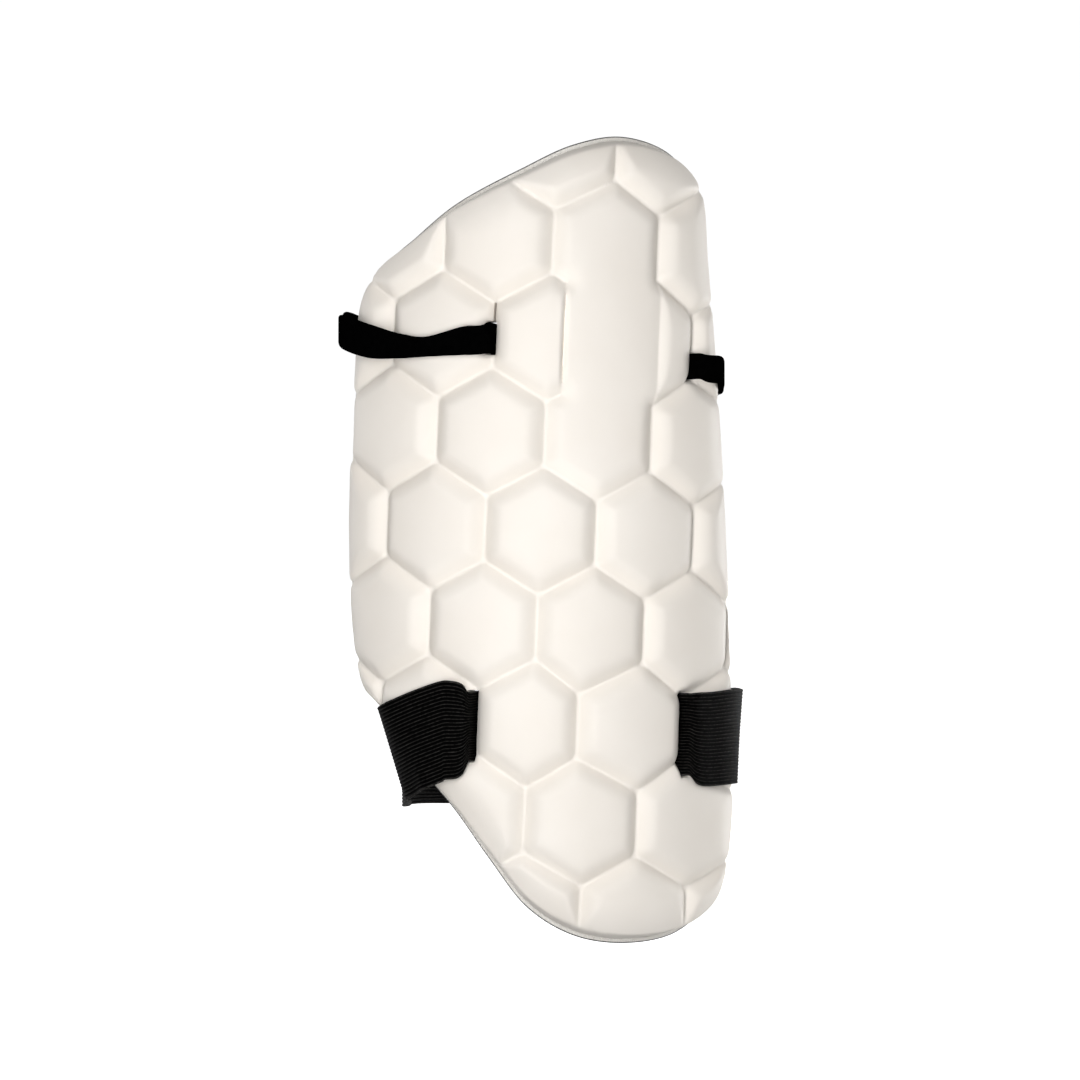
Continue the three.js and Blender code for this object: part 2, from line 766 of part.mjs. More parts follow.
// Sections along a smooth line through the knots, closer together where the knots are
function strapSections(knots) {
  const line = new THREE.CatmullRomCurve3(knots.map((k) => k.point), false, "centripetal");
  const traits = new THREE.CatmullRomCurve3(
    knots.map((k) => new THREE.Vector3(k.width, k.twist, k.square)),
    false,
    "catmullrom",
    STRAP_EASE,
  );
  const spans = knots.length - 1;
  const shares = [];
  for (let i = 0; i < spans; i += 1) {
    const length = knots[i].point.distanceTo(knots[i + 1].point);
    const steps = THREE.MathUtils.clamp(Math.round(length / STRAP_STEP), 1, STRAP_STEPS_MOST);
    for (let k = 0; k < steps; k += 1) shares.push((i + k / steps) / spans);
  }
  shares.push(1);
  return shares.map((share) => {
    const trait = traits.getPoint(share);
    return {
      middle: line.getPoint(share),
      run: line.getTangent(share),
      width: trait.x,
      twist: THREE.MathUtils.degToRad(trait.y),
      square: trait.z,
    };
  });
}

function strapSolid(strap) {
  const half = strap.thick / 2;
  const points = [];
  const triangles = [];
  const sections = strapSections(strapKnots(strap));
  const corners = STRAP_CORNERS;
  sections.forEach((section) => {
    const upright = new THREE.Vector3(0, (2 * END_BOW * section.middle.z) / HALF_HEIGHT ** 2, 1);
    upright.addScaledVector(section.run, -section.square * section.run.dot(upright)).normalize();
    upright.applyAxisAngle(section.run, section.twist);
    const outward = upright.clone().cross(section.run).normalize();
    const edge = section.width / 2;
    const ring = [
      [edge, 0],
      [edge - half, half],
      [half - edge, half],
      [-edge, 0],
      [half - edge, -half],
      [edge - half, -half],
    ];
    ring.forEach(([u, n]) => {
      points.push(section.middle.clone().addScaledVector(upright, u).addScaledVector(outward, n));
    });
  });
  for (let s = 0; s < sections.length - 1; s += 1) {
    for (let i = 0; i < corners; i += 1) {
      const a = s * corners + i;
      const b = s * corners + ((i + 1) % corners);
      triangles.push([a, b + corners, b], [a, a + corners, b + corners]);
    }
  }
  const last = (sections.length - 1) * corners;
  for (let i = 1; i < corners - 1; i += 1) {
    triangles.push([0, i, i + 1], [last, last + i + 1, last + i]);
  }
  return solidOf(points, triangles);
}

const pad = new THREE.Group();
pad.name = "thigh_pad";
const outline = linerOutline();
pad.add(meshOf("pad_shell", padShell(outline)));
pad.add(meshOf("back_liner", backLiner(outline)));
STRAPS.forEach((strap) => pad.add(meshOf(strap.name, strapSolid(strap))));

export default pad;
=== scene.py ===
"""Looks of the thigh pad: moulded foam face, backing cloth, two straps, floor, lights and camera."""
import math

import bpy
import numpy as np
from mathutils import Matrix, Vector
from mathutils.geometry import delaunay_2d_cdt


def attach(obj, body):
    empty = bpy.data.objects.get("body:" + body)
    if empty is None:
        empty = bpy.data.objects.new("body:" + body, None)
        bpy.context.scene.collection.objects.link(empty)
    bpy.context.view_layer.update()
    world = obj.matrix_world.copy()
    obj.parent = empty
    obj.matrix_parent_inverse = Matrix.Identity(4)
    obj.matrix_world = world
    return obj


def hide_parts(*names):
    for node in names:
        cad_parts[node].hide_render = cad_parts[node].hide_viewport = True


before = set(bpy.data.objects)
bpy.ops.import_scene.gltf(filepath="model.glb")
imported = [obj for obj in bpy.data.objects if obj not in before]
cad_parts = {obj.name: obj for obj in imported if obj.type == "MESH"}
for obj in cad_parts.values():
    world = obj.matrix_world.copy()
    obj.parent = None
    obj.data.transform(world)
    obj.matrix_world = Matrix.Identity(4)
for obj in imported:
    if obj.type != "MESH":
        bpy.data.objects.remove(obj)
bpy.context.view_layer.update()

# Sizes are in millimetres until a mesh is made
MM = 0.001
UV_UNIT = 100.0

# Bend of the pad round the thigh: "around" is arc length, "up" is height, "lift" is distance outward
BACK_RADIUS = 107.0
HALF_HEIGHT = 200.0
END_BOW = 8.0
LINER_FACE = 2.0
SHELL_BACK = 2.3
RIM_EDGE = 4.5
RIM_FLOOR = 10.5
GROOVE_FLOOR = 11.0
PLATE_TOP = 15.5
CELL_TOP = 18.0
GIRTH_RADIUS = BACK_RADIUS + GROOVE_FLOOR

# A cell rises in a flank beside its groove and in a low dome across it, the plate in the flank alone,
# and both in the dome alone from the rim. How far these and the foam's steep edge reach, how steep they
# start, and the flank's share.
FLANK_REACH = 9.0
FLANK_POWER = 1.8
FLANK_SHARE = 0.68
DOME_REACH = 22.0
DOME_POWER = 2.0
EDGE_REACH = 2.5
LIP = 2.5

# How round the groove's foot is, and how sharp the hip is where two flanks of a cell meet
GROOVE_FOOT = 0.45
HIP_POWER = 6.0
# How far from a groove's line the painted shade in the grooves reaches, in millimetres
GROOVE_SHADE = 3.0
SLIT_ROUND = {"drop": 1.3, "reach": 2.4}

# The plate's two straight sides: a sharp crease on its left, a gentle rise to the cell on its right
LEFT_CREASE = {"floor": 13.6, "reach": 1.8}
RIGHT_CREASE = {"floor": 15.1, "reach": 6.0}

# Points this near the plate's side lie on it: on the left they count as the cell's, on the right as its own
ON_LINE = 0.05

# Hexagon grid, with the upright grooves that lie off it; columns are half pitches
PITCH = 55.3
ROW_PITCH = PITCH * math.sqrt(3) / 2
CORNER_REACH = PITCH / math.sqrt(3)
GRID_AROUND = 1.85
GRID_UP = 4.6
GRID_LEAN = math.radians(2.5)
GRID_ROWS = range(-5, 6)
GRID_COLUMNS = range(-8, 9)
GROOVE_SHIFTS = {
    (4, 1): 2.5, (2, 3): -4.6, (-2, 1): -5.3, (-2, 3): -3.6, (-3, 0): -2.0, (-3, 4): 13.0, (-4, 3): 3.5,
}
PLATE_GROOVE = (2, 1)
PLATE_LEFT = 7.0

# Outer edge of the backing cloth, anticlockwise from the top: around, up
OUTLINE = [
    (48, 201.5), (20, 197), (-9, 184.5), (-45, 167.5), (-70, 151.5), (-91, 138.5), (-104, 121),
    (-109.5, 80), (-114, 5), (-110.5, -48), (-101.5, -76.3), (-89, -87), (-76, -105),
    (-46, -134), (-26, -158.5), (-5, -183), (20, -197), (50, -201.5), (84, -197), (108, -182.5),
    (119.5, -150), (120.5, -110), (115, 0), (106.5, 90), (100.5, 140), (95.5, 177), (80, 193),
]
OUTLINE_SPAN_STEPS = 12
OUTLINE_STEP = 1.6

# Rows of mesh points beside the grooves and inside the rim: distance from it, least distance to others
GROOVE_ROWS = [
    (0, 0.8), (0.5, 0.38), (1.1, 0.45), (1.9, 0.6), (2.9, 0.8), (4.0, 0.9),
    (5.2, 1.0), (6.4, 1.0), (7.6, 1.1), (8.8, 1.1), (10.2, 1.2),
]
RIM_ROWS = [
    (0.35, 0.3), (0.75, 0.35), (1.2, 0.4), (1.7, 0.45), (2.3, 0.5), (3.0, 0.6),
    (4.0, 0.9), (5.2, 1.0), (6.4, 1.0), (7.6, 1.1), (8.8, 1.1), (10.2, 1.2),
]
SLIT_ROWS = [(0.35, 0.3), (0.8, 0.4), (1.5, 0.5), (2.4, 0.6)]
ALONG_STEP = 1.8
FILL_STEP = 3.2
BACK_STEP = 9.0
SLIT_STEP = 0.9
LINER_STEP = 5.0
MERGE_DISTANCE = 1e-6

# How far those points keep from the rim, the slits and other grooves, in millimetres or in fill steps
ROW_MARGIN = 0.3
SLIT_ROW_MARGIN = 0.2
GROOVE_SLACK = 0.15
RIM_SLACK = 0.1
FILL_MARGIN = {"rim": 1.5, "slit": 1.0, "apart": 0.6}
PLAIN_MARGIN = {"rim": 0.4, "slit": 0.3, "apart": 0.5}

# Rolled outer edges of the foam and of the cloth: how far they stand out, and where that starts and ends
# below the top and above the back
FOAM_EDGE = {"out": 0.35, "below": 0.7, "above": 0.6}
CLOTH_EDGE = {"out": 0.4, "below": 0.45, "above": 0.55}
CLOTH_BACK = 0.15
SLIT_WALL_SHARES = (0.85, 0.5, 0.15)

# Width of the painted shade along the outer edge of the backing cloth
EDGE_SHADE_WIDTH = 0.4

# Height of the waves in the foam's skin, long and short
WAVES = {"long": 0.07, "short": 0.05}

# Edges that fold by more than this many degrees show as sharp
SHARP_DEGREES = 60
STRAP_SHARP_DEGREES = 70

# Slits for the straps, each in the upright groove at this row and column, or aside of its middle.
# The upper left one runs on above its strap as a narrow cut.
SLITS = {
    "upper_left": {"groove": (2, -1), "aside": -1.0, "up": 100.0, "length": 16.4, "gap": 4.8},
    "upper_right": {"groove": (2, 3), "aside": 0.0, "up": 87.0, "length": 14.0, "gap": 4.8},
    "lower_left": {"groove": (-2, -1), "aside": -2.6, "up": -92.4, "length": 36.0, "gap": 4.8},
    "lower_right": {"groove": (-2, 3), "aside": 1.3, "up": -97.3, "length": 43.2, "gap": 4.8},
}
UPPER_LEFT_CUT = {"groove": (2, -1), "aside": 0.0, "up": 113.0, "length": 10.0, "gap": 1.2}

# Straps: through the slits, over the pad's face, round the back and over themselves in a lap
STRAP_CLEARANCE = 0.7
SLIT_BEND = [
    {"outward": 11, "below": 0, "spread": 1},
    {"outward": 5.5, "below": 0.1, "spread": 0.92},
    {"outward": 2.2, "below": 0.4, "spread": 0.66},
    {"outward": 0.6, "below": 2.5, "spread": 0},
    {"outward": 0, "lift": 13, "spread": 0},
    {"outward": 0, "lift": 6, "spread": 0},
    {"outward": 0, "lift": 0.4, "spread": 0},
    {"outward": -0.7, "behind": -0.2, "spread": 0},
    {"outward": -3.5, "behind": 0, "spread": 0},
]
BEHIND_STEPS = 6
REAR_RIGHT = [84, 63, 42, 21, 0]
REAR_LEFT = [(180, 0), (156, 0), (134, 0.15), (114, 0.6), (96, 1), (76, 1), (58, 1)]
UPPER_STRAP = {
    "thick": 3.0,
    "rear": {"middle": -2.5, "half_width": 95.5, "behind": -2, "depth": 95, "width": 18},
    "rear_heights": {"right": 84, "back": 100, "left": 109.8},
    "right_side": [{"x": 93.2, "y": -64, "up": 82, "width": 14, "twist": 0}],
    "right_rows": [],
    "right_slit": {"slit": "upper_right", "up": 87, "width": 13, "open_up": 85.5, "open_width": 14},
    "left_slit": {"slit": "upper_left", "up": 100, "width": 15.4, "open_up": 98.6, "open_width": 14.3},
    "left_rows": [
        {"around": -53, "up": 95.9, "width": 10, "square": 1},
        {"around": -66, "up": 96.4, "width": 12.2, "square": 1},
        {"around": -84, "up": 99.2, "width": 16.5, "square": 1},
        {"around": -102, "up": 104.4, "width": 16.8, "square": 1},
    ],
    "left_side": [{"x": -99.3, "y": -55, "up": 108.3, "width": 13, "twist": 0}],
}
LOWER_STRAP = {
    "thick": 1.5,
    "rear": {"middle": 16.5, "half_width": 86, "behind": 2, "depth": 88, "width": 48},
    "rear_heights": {"right": -101, "back": -119.5, "left": -115},
    "right_side": [{"x": 102.8, "y": -50, "up": -100, "width": 48, "twist": -4}],
    "right_rows": [{"around": 107, "up": -99, "width": 48, "square": 1}],
    "right_slit": {"slit": "lower_right", "up": -97.3, "width": 41.5, "open_up": -99.8, "open_width": 47.5},
    "left_slit": {"slit": "lower_left", "up": -92.4, "width": 35, "open_up": -94.2, "open_width": 49.5},
    "left_rows": [
        {"around": -46, "up": -95, "width": 49.5, "square": 0.2},
        {"around": -60, "up": -100.5, "width": 48.5, "square": 0.7},
    ],
    "left_side": [
        {"x": -71.2, "y": -98, "up": -106, "width": 48.5, "twist": -14},
        {"x": -71.4, "y": -78, "up": -109.5, "width": 48.5, "twist": -19},
        {"x": -70, "y": -42, "up": -112.5, "width": 48, "twist": -12},
    ],
}
UPPER_CURL = {"depth": 3.6, "reach": 13.0}
CURL_POWER = 4
STRAP_STEP = 2.6
STRAP_STEPS_LEAST = 3
STRAP_EASE = 0.4
EDGE_POINTS = 5
UPPER_FACE_POINTS = 25
LOWER_RIBS = 26
RIB_POINTS = 6
RIB_DEPTH = 0.36

# Stitches that hold each lap; they stand proud of it and dip at their ends, in thread radii
STITCH = {"length": 2.4, "every": 3.3, "radius": 0.32, "margin": 3.0, "proud": 0.6, "dip": 1.6}
STITCH_ROWS = [5.0, 8.0, 30.0]
STITCH_SIDES = 6
STITCH_RINGS = 7

# The photograph's camera: place, and the width of its square view at a known distance
CAMERA_PLACE = (1.5, -2295.0, 0.0)
VIEW_DISTANCE = 2200.0
VIEW_WIDTH = 540.0
SENSOR = 36.0
VIEW_LIMIT = 200.0

FLOOR_HEIGHT = -300.0
FLOOR_SIZE = 60000.0

# Light from all round: brightness from the camera's side (0) to behind the object (1), and of the backdrop
WORLD_GLOW = [(0, 0.08), (0.5, 0.2), (1, 1.0)]
BACKDROP = 1.02

# Softboxes: place and sides in metres, power in watts
SOFTBOXES = {
    "key": {"place": (-0.05, -0.7, -0.1), "width": 0.2, "height": 1.2, "power": 7.1},
    "bounce": {"place": (0.32, -0.36, -0.5), "width": 0.3, "height": 0.3, "power": 1.2},
    "right_edge": {"place": (2.0, 1.2, -0.3), "width": 1.2, "height": 1.2, "power": 60},
    "left_edge": {"place": (-2.0, 1.3, 0.2), "width": 1.2, "height": 1.2, "power": 18},
}

# Sockets of a colour mix node
MIX_FACTOR, MIX_FIRST, MIX_SECOND, MIX_RESULT = 0, 6, 7, 2


# Flat pattern and the hexagon grid

def wrap(around, up, lift):
    """Points of the flat pattern, bent round the thigh, as rows of x, y, z."""
    around, up, lift = np.broadcast_arrays(*(np.asarray(v, float) for v in (around, up, lift)))
    angle = around / GIRTH_RADIUS
    radius = BACK_RADIUS + lift
    bow = END_BOW * (up / HALF_HEIGHT) ** 2
    return np.stack([radius * np.sin(angle), bow - radius * np.cos(angle), up], axis=-1)


def on_pattern(across, along):
    """A point of the straight grid, laid on the flat pattern."""
    c, s = math.cos(GRID_LEAN), math.sin(GRID_LEAN)
    return np.array([GRID_AROUND + across * c + along * s, GRID_UP - across * s + along * c])


def groove_end(groove, end):
    """The upper (1) or lower (-1) end of an upright groove, or its middle (0)."""
    row, column = groove
    point = on_pattern(column * PITCH / 2, row * ROW_PITCH + end * CORNER_REACH / 2)
    point[0] += GROOVE_SHIFTS.get(groove, 0)
    return point


def beside(groove, rows, columns):
    return groove[0] + rows, groove[1] + columns


def cut_at_plate(start, end):
    """The point between start and end where the plate's left side crosses."""
    normal = np.array([math.cos(GRID_LEAN), -math.sin(GRID_LEAN)])
    side = on_pattern(PLATE_LEFT, 0)
    share = (side - start) @ normal / ((end - start) @ normal)
    return start + share * (end - start)


def plate_corners():
    """The two points where the plate's left side meets the grooves, upper then lower."""
    upper = cut_at_plate(groove_end(beside(PLATE_GROOVE, 1, -1), -1), groove_end(PLATE_GROOVE, 1))
    lower = cut_at_plate(groove_end(beside(PLATE_GROOVE, -1, -1), 1), groove_end(PLATE_GROOVE, -1))
    return upper, lower


def plate_outline():
    upper, lower = plate_corners()
    left_top, right_top = beside(PLATE_GROOVE, 1, -1), beside(PLATE_GROOVE, 1, 1)
    left_low, right_low = beside(PLATE_GROOVE, -1, -1), beside(PLATE_GROOVE, -1, 1)
    corners = [
        groove_end(beside(PLATE_GROOVE, 2, 0), -1), groove_end(left_top, 1), groove_end(left_top, -1),
        upper, lower, groove_end(left_low, 1), groove_end(left_low, -1),
        groove_end(beside(PLATE_GROOVE, -2, 0), 1), groove_end(right_low, -1), groove_end(right_low, 1),
        groove_end(right_top, -1), groove_end(right_top, 1),
    ]
    return np.array(corners)


def groove_lines():
    """Every groove as (start, end, floor, reach); no reach means that of the dome or plate beside it."""
    upper, lower = plate_corners()
    lines = []

    def groove(start, end):
        lines.append((start, end, GROOVE_FLOOR, None))

    for row in GRID_ROWS:
        for column in GRID_COLUMNS:
            here = (row, column)
            if (row + column) % 2 == 0:
                continue
            if here != PLATE_GROOVE:
                groove(groove_end(here, 1), groove_end(here, -1))
            for side in (-1, 1):
                above = beside(here, 1, side)
                start, end = groove_end(here, 1), groove_end(above, -1)
                if PLATE_GROOVE not in (here, above):
                    groove(start, end)
                elif above == PLATE_GROOVE and side > 0:
                    groove(start, lower)
                elif here == PLATE_GROOVE and side < 0:
                    groove(upper, end)
    lines.append((upper, lower, LEFT_CREASE["floor"], LEFT_CREASE["reach"]))
    right_top = groove_end(beside(PLATE_GROOVE, 1, 1), -1)
    right_low = groove_end(beside(PLATE_GROOVE, -1, 1), 1)
    lines.append((right_top, right_low, RIGHT_CREASE["floor"], RIGHT_CREASE["reach"]))
    return lines


def near_pad(lines, loop):
    """The grooves that reach the pad at all."""
    low, high = loop.min(axis=0), loop.max(axis=0)
    kept = []
    for line in lines:
        ends = np.array(line[:2])
        if (ends.max(axis=0) > low).all() and (ends.min(axis=0) < high).all():
            kept.append(line)
    return kept


# Curves and distances

def hermite(start, end, leave, arrive, share):
    share = share[:, None]
    square, cube = share ** 2, share ** 3
    return (
        start * (1 - 3 * square + 2 * cube) + end * (3 * square - 2 * cube)
        + leave * (share - 2 * square + cube) + arrive * (cube - square)
    )


def smooth_span(before, start, end, after, share, ease):
    """Catmull-Rom span: centripetal where ease is None, else even with that ease."""
    if ease is not None:
        return hermite(start, end, ease * (end - before), ease * (after - start), share)
    spans = (start - before, end - start, after - end)
    first, middle, last = (max(math.sqrt(np.linalg.norm(span)), 1e-4) for span in spans)
    leave = (start - before) / first - (end - before) / (first + middle) + (end - start) / middle
    arrive = (end - start) / middle - (after - start) / (middle + last) + (after - end) / last
    return hermite(start, end, leave * middle, arrive * middle, share)


def smooth_line(knots, steps, closed=False, ease=None):
    """A smooth line through the knots, with that many steps in each span."""
    knots = np.asarray(knots, float)
    count = len(knots)
    if closed:
        padded = np.vstack([knots[-1], knots, knots[:2]])
    else:
        padded = np.vstack([2 * knots[0] - knots[1], knots, 2 * knots[-1] - knots[-2]])
    spans = count if closed else count - 1
    pieces = []
    for i in range(spans):
        share = np.arange(steps[i]) / steps[i]
        pieces.append(smooth_span(*padded[i:i + 4], share, ease))
    if not closed:
        pieces.append(knots[-1:])
    return np.vstack(pieces)


def even_loop(loop, step):
    """A closed loop again, with points about step apart."""
    closed = np.vstack([loop, loop[:1]])
    along = np.concatenate([[0], np.cumsum(np.linalg.norm(np.diff(closed, axis=0), axis=1))])
    at = np.linspace(0, along[-1], round(along[-1] / step) + 1)[:-1]
    return np.stack([np.interp(at, along, closed[:, k]) for k in range(2)], axis=1)


def drawn_in(loop, inset):
    """A smooth anticlockwise loop moved towards its inside."""
    run = np.roll(loop, -1, axis=0) - np.roll(loop, 1, axis=0)
    run /= np.linalg.norm(run, axis=1)[:, None]
    return loop + inset * np.stack([-run[:, 1], run[:, 0]], axis=1)


def segment_distance(points, start, end):
    span = end - start
    share = np.clip(((points - start) * span).sum(axis=1) / (span * span).sum(), 0, 1)
    return np.linalg.norm(points - start - share[:, None] * span, axis=1)


def loop_distance(points, loop):
    best = np.full(len(points), np.inf)
    for start, end in zip(loop, np.roll(loop, -1, axis=0)):
        best = np.minimum(best, segment_distance(points, start, end))
    return best


def inside(points, loop):
    """Which points lie inside a closed loop."""
    x, y = points[:, 0], points[:, 1]
    found = np.zeros(len(points), bool)
    for (x0, y0), (x1, y1) in zip(loop, np.roll(loop, -1, axis=0)):
        if y0 == y1:
            continue
        crosses = (y0 > y) != (y1 > y)
        found ^= crosses & (x < x0 + (y - y0) * (x1 - x0) / (y1 - y0))
    return found


def groove_distance(points, lines):
    best = np.full(len(points), np.inf)
    for start, end, _, _ in lines:
        best = np.minimum(best, segment_distance(points, start, end))
    return best


# Slits

def slit_middle(slit):
    middle = groove_end(slit["groove"], 0)
    along = slit["up"] - middle[1]
    return np.array([middle[0] + slit["aside"] + along * math.tan(GRID_LEAN), slit["up"]])


def slit_sides(slit):
    """The four corners of a slit: lower left, lower right, upper right, upper left."""
    lean = np.array([math.sin(GRID_LEAN), math.cos(GRID_LEAN)])
    across = np.array([lean[1], -lean[0]]) * slit["gap"] / 2
    half = lean * slit["length"] / 2
    middle = slit_middle(slit)
    return [middle - half - across, middle - half + across, middle + half + across, middle + half - across]


def slit_loops():
    """The slits' outlines, anticlockwise; the narrow cut is one with the upper left slit."""
    loops = []
    for name, slit in SLITS.items():
        corners = slit_sides(slit)
        if name == "upper_left":
            cut = slit_sides(UPPER_LEFT_CUT)
            foot = corners[3][1]
            cut_left = np.array([cut[0][0] + (foot - cut[0][1]) * math.tan(GRID_LEAN), foot])
            cut_right = cut_left + [UPPER_LEFT_CUT["gap"], 0]
            corners = corners[:3] + [cut_right, cut[2], cut[3], cut_left] + corners[3:]
        loops.append(even_loop(np.array(corners), SLIT_STEP))
    return loops


SLIT_LOOPS = slit_loops()


def slit_distance(points):
    """Distance outside the nearest slit; negative within one."""
    best = np.full(len(points), np.inf)
    for loop in SLIT_LOOPS:
        distance = loop_distance(points, loop)
        best = np.minimum(best, np.where(inside(points, loop), -distance, distance))
    return best


# Lift of the moulded face

def eased(distance, reach, power):
    """From 0 at the start to 1 at the reach, steep at first."""
    return 1 - (1 - np.clip(distance / reach, 0, 1)) ** power


def rise(distance, dome_share):
    """Share of the way from a groove's floor to the top, for a flank and a dome together."""
    flank = eased(distance, FLANK_REACH, FLANK_POWER)
    dome = eased(distance, DOME_REACH, DOME_POWER)
    return flank + dome_share * (dome - flank)


def unevenness(points):
    """Slow waves of a hand-laid foam skin, in millimetres."""
    x, y = points[:, 0], points[:, 1]
    waves = np.sin(x / 9.1 + 1.3 * np.sin(y / 23)) * np.sin(y / 11.7 + 0.8 * np.sin(x / 17))
    return WAVES["long"] * waves + WAVES["short"] * np.sin(x / 4.3 + y / 6.1 + 2 * np.sin(y / 31))


def face_lift(points, lines, rim, plate_loop):
    """Lift of the foam's face, and how deep in a groove each point is from 0 to 1, which sets the painted
    shade there.
    """
    plate = inside(points - [ON_LINE, 0], plate_loop)
    top = np.where(plate, PLATE_TOP, CELL_TOP)
    dome_share = np.where(plate, 0, 1 - FLANK_SHARE)
    rim_distance = loop_distance(points, rim)
    nearest = np.full(len(points), np.inf)
    total = ((top - RIM_FLOOR) * (1 - eased(rim_distance, DOME_REACH, DOME_POWER))) ** HIP_POWER
    for start, end, floor, reach in lines:
        distance = segment_distance(points, start, end)
        rounded = np.sqrt(distance ** 2 + GROOVE_FOOT ** 2) - GROOVE_FOOT
        if reach is None:
            nearest = np.minimum(nearest, distance)
            total += ((top - floor) * (1 - rise(rounded, dome_share))) ** HIP_POWER
        else:
            total += ((top - floor) * (1 - eased(rounded, reach, FLANK_POWER))) ** HIP_POWER
    drop = np.minimum(total ** (1 / HIP_POWER), top - RIM_FLOOR)
    slit = 1 - eased(np.maximum(slit_distance(points), 0), SLIT_ROUND["reach"], FLANK_POWER)
    lift = top - drop - SLIT_ROUND["drop"] * slit + unevenness(points)
    lift = RIM_EDGE + (lift - RIM_EDGE) * eased(rim_distance, EDGE_REACH, DOME_POWER)
    return lift, 1 - np.clip(nearest / GROOVE_SHADE, 0, 1)


# Mesh of the flat pattern

class PointBed:
    """Points of the flat pattern, kept a given distance apart."""

    SQUARE = 2.0

    def __init__(self):
        self.points = []
        self.squares = {}

    def is_free(self, x, y, apart):
        column, row = int(x // self.SQUARE), int(y // self.SQUARE)
        for i in (column - 1, column, column + 1):
            for j in (row - 1, row, row + 1):
                for px, py in self.squares.get((i, j), ()):
                    if (px - x) ** 2 + (py - y) ** 2 < apart * apart:
                        return False
        return True

    def put(self, x, y):
        self.points.append((x, y))
        self.squares.setdefault((int(x // self.SQUARE), int(y // self.SQUARE)), []).append((x, y))

    def add_loop(self, loop):
        """Adds a closed loop whole, and gives the numbers of its points."""
        first = len(self.points)
        for x, y in loop:
            self.put(x, y)
        return list(range(first, len(self.points)))

    def fill(self, points, apart):
        for x, y in points:
            if self.is_free(x, y, apart):
                self.put(x, y)


def groove_row(lines, offset):
    """Points in rows at this distance from each groove, on both sides of it."""
    rows = []
    for start, end, _, _ in lines:
        length = np.linalg.norm(end - start)
        run = (end - start) / length
        aside = np.array([-run[1], run[0]])
        trim = min(offset * math.tan(math.pi / 6), length / 2)
        along = np.linspace(trim, length - trim, max(2, round((length - 2 * trim) / ALONG_STEP) + 1))
        for side in (1, -1) if offset else (0,):
            rows.append(start + along[:, None] * run + side * offset * aside)
    return np.vstack(rows)


def lattice(loop, step):
    """A triangular lattice over a loop's box."""
    low, high = loop.min(axis=0), loop.max(axis=0)
    rise = step * math.sqrt(3) / 2
    rows = []
    for k, y in enumerate(np.arange(low[1], high[1], rise)):
        x = np.arange(low[0] + (k % 2) * step / 2, high[0], step)
        rows.append(np.stack([x, np.full(len(x), y)], axis=1))
    return np.vstack(rows)


def well_inside(points, loop, margin, slit_margin):
    kept = points[inside(points, loop)]
    kept = kept[loop_distance(kept, loop) > margin]
    return kept[slit_distance(kept) > slit_margin]


def face_bed(rim, lines):
    bed = PointBed()
    loops = [bed.add_loop(rim)] + [bed.add_loop(loop) for loop in SLIT_LOOPS]
    for offset, apart in SLIT_ROWS:
        for loop in SLIT_LOOPS:
            bed.fill(well_inside(drawn_in(loop, -offset), rim, ROW_MARGIN, SLIT_ROW_MARGIN), apart)
    for offset, apart in GROOVE_ROWS:
        row = well_inside(groove_row(lines, offset), rim, ROW_MARGIN, ROW_MARGIN)
        bed.fill(row[groove_distance(row, lines) > offset - GROOVE_SLACK], apart)
    for inset, apart in RIM_ROWS:
        bed.fill(well_inside(drawn_in(rim, inset), rim, inset - RIM_SLACK, ROW_MARGIN), apart)
    fill = well_inside(lattice(rim, FILL_STEP), rim, FILL_MARGIN["rim"], FILL_MARGIN["slit"])
    bed.fill(fill, FILL_STEP * FILL_MARGIN["apart"])
    return bed, loops


def plain_bed(loop, step, shade_band=None):
    bed = PointBed()
    loops = [bed.add_loop(loop)] + [bed.add_loop(slit) for slit in SLIT_LOOPS]
    if shade_band:
        bed.fill(drawn_in(loop, shade_band), shade_band / 2)
    rim_margin, slit_margin = step * PLAIN_MARGIN["rim"], step * PLAIN_MARGIN["slit"]
    fill = well_inside(lattice(loop, step), loop, rim_margin, slit_margin)
    bed.fill(fill, step * PLAIN_MARGIN["apart"])
    return bed, loops


def triangulate(bed, loops):
    """Triangles inside the first loop and outside the others, with the loops' new numbers."""
    edges = [(a, b) for loop in loops for a, b in zip(loop, loop[1:] + loop[:1])]
    made = delaunay_2d_cdt([Vector(p) for p in bed.points], edges, [], 1, MERGE_DISTANCE)
    points = np.array([tuple(p) for p in made[0]])
    triangles = np.array(made[2])
    kept = slit_distance(points[triangles].mean(axis=1)) > 0
    number = {}
    for new, olds in enumerate(made[3]):
        for old in olds:
            number[old] = new
    return points, triangles[kept], [[number[i] for i in loop] for loop in loops]


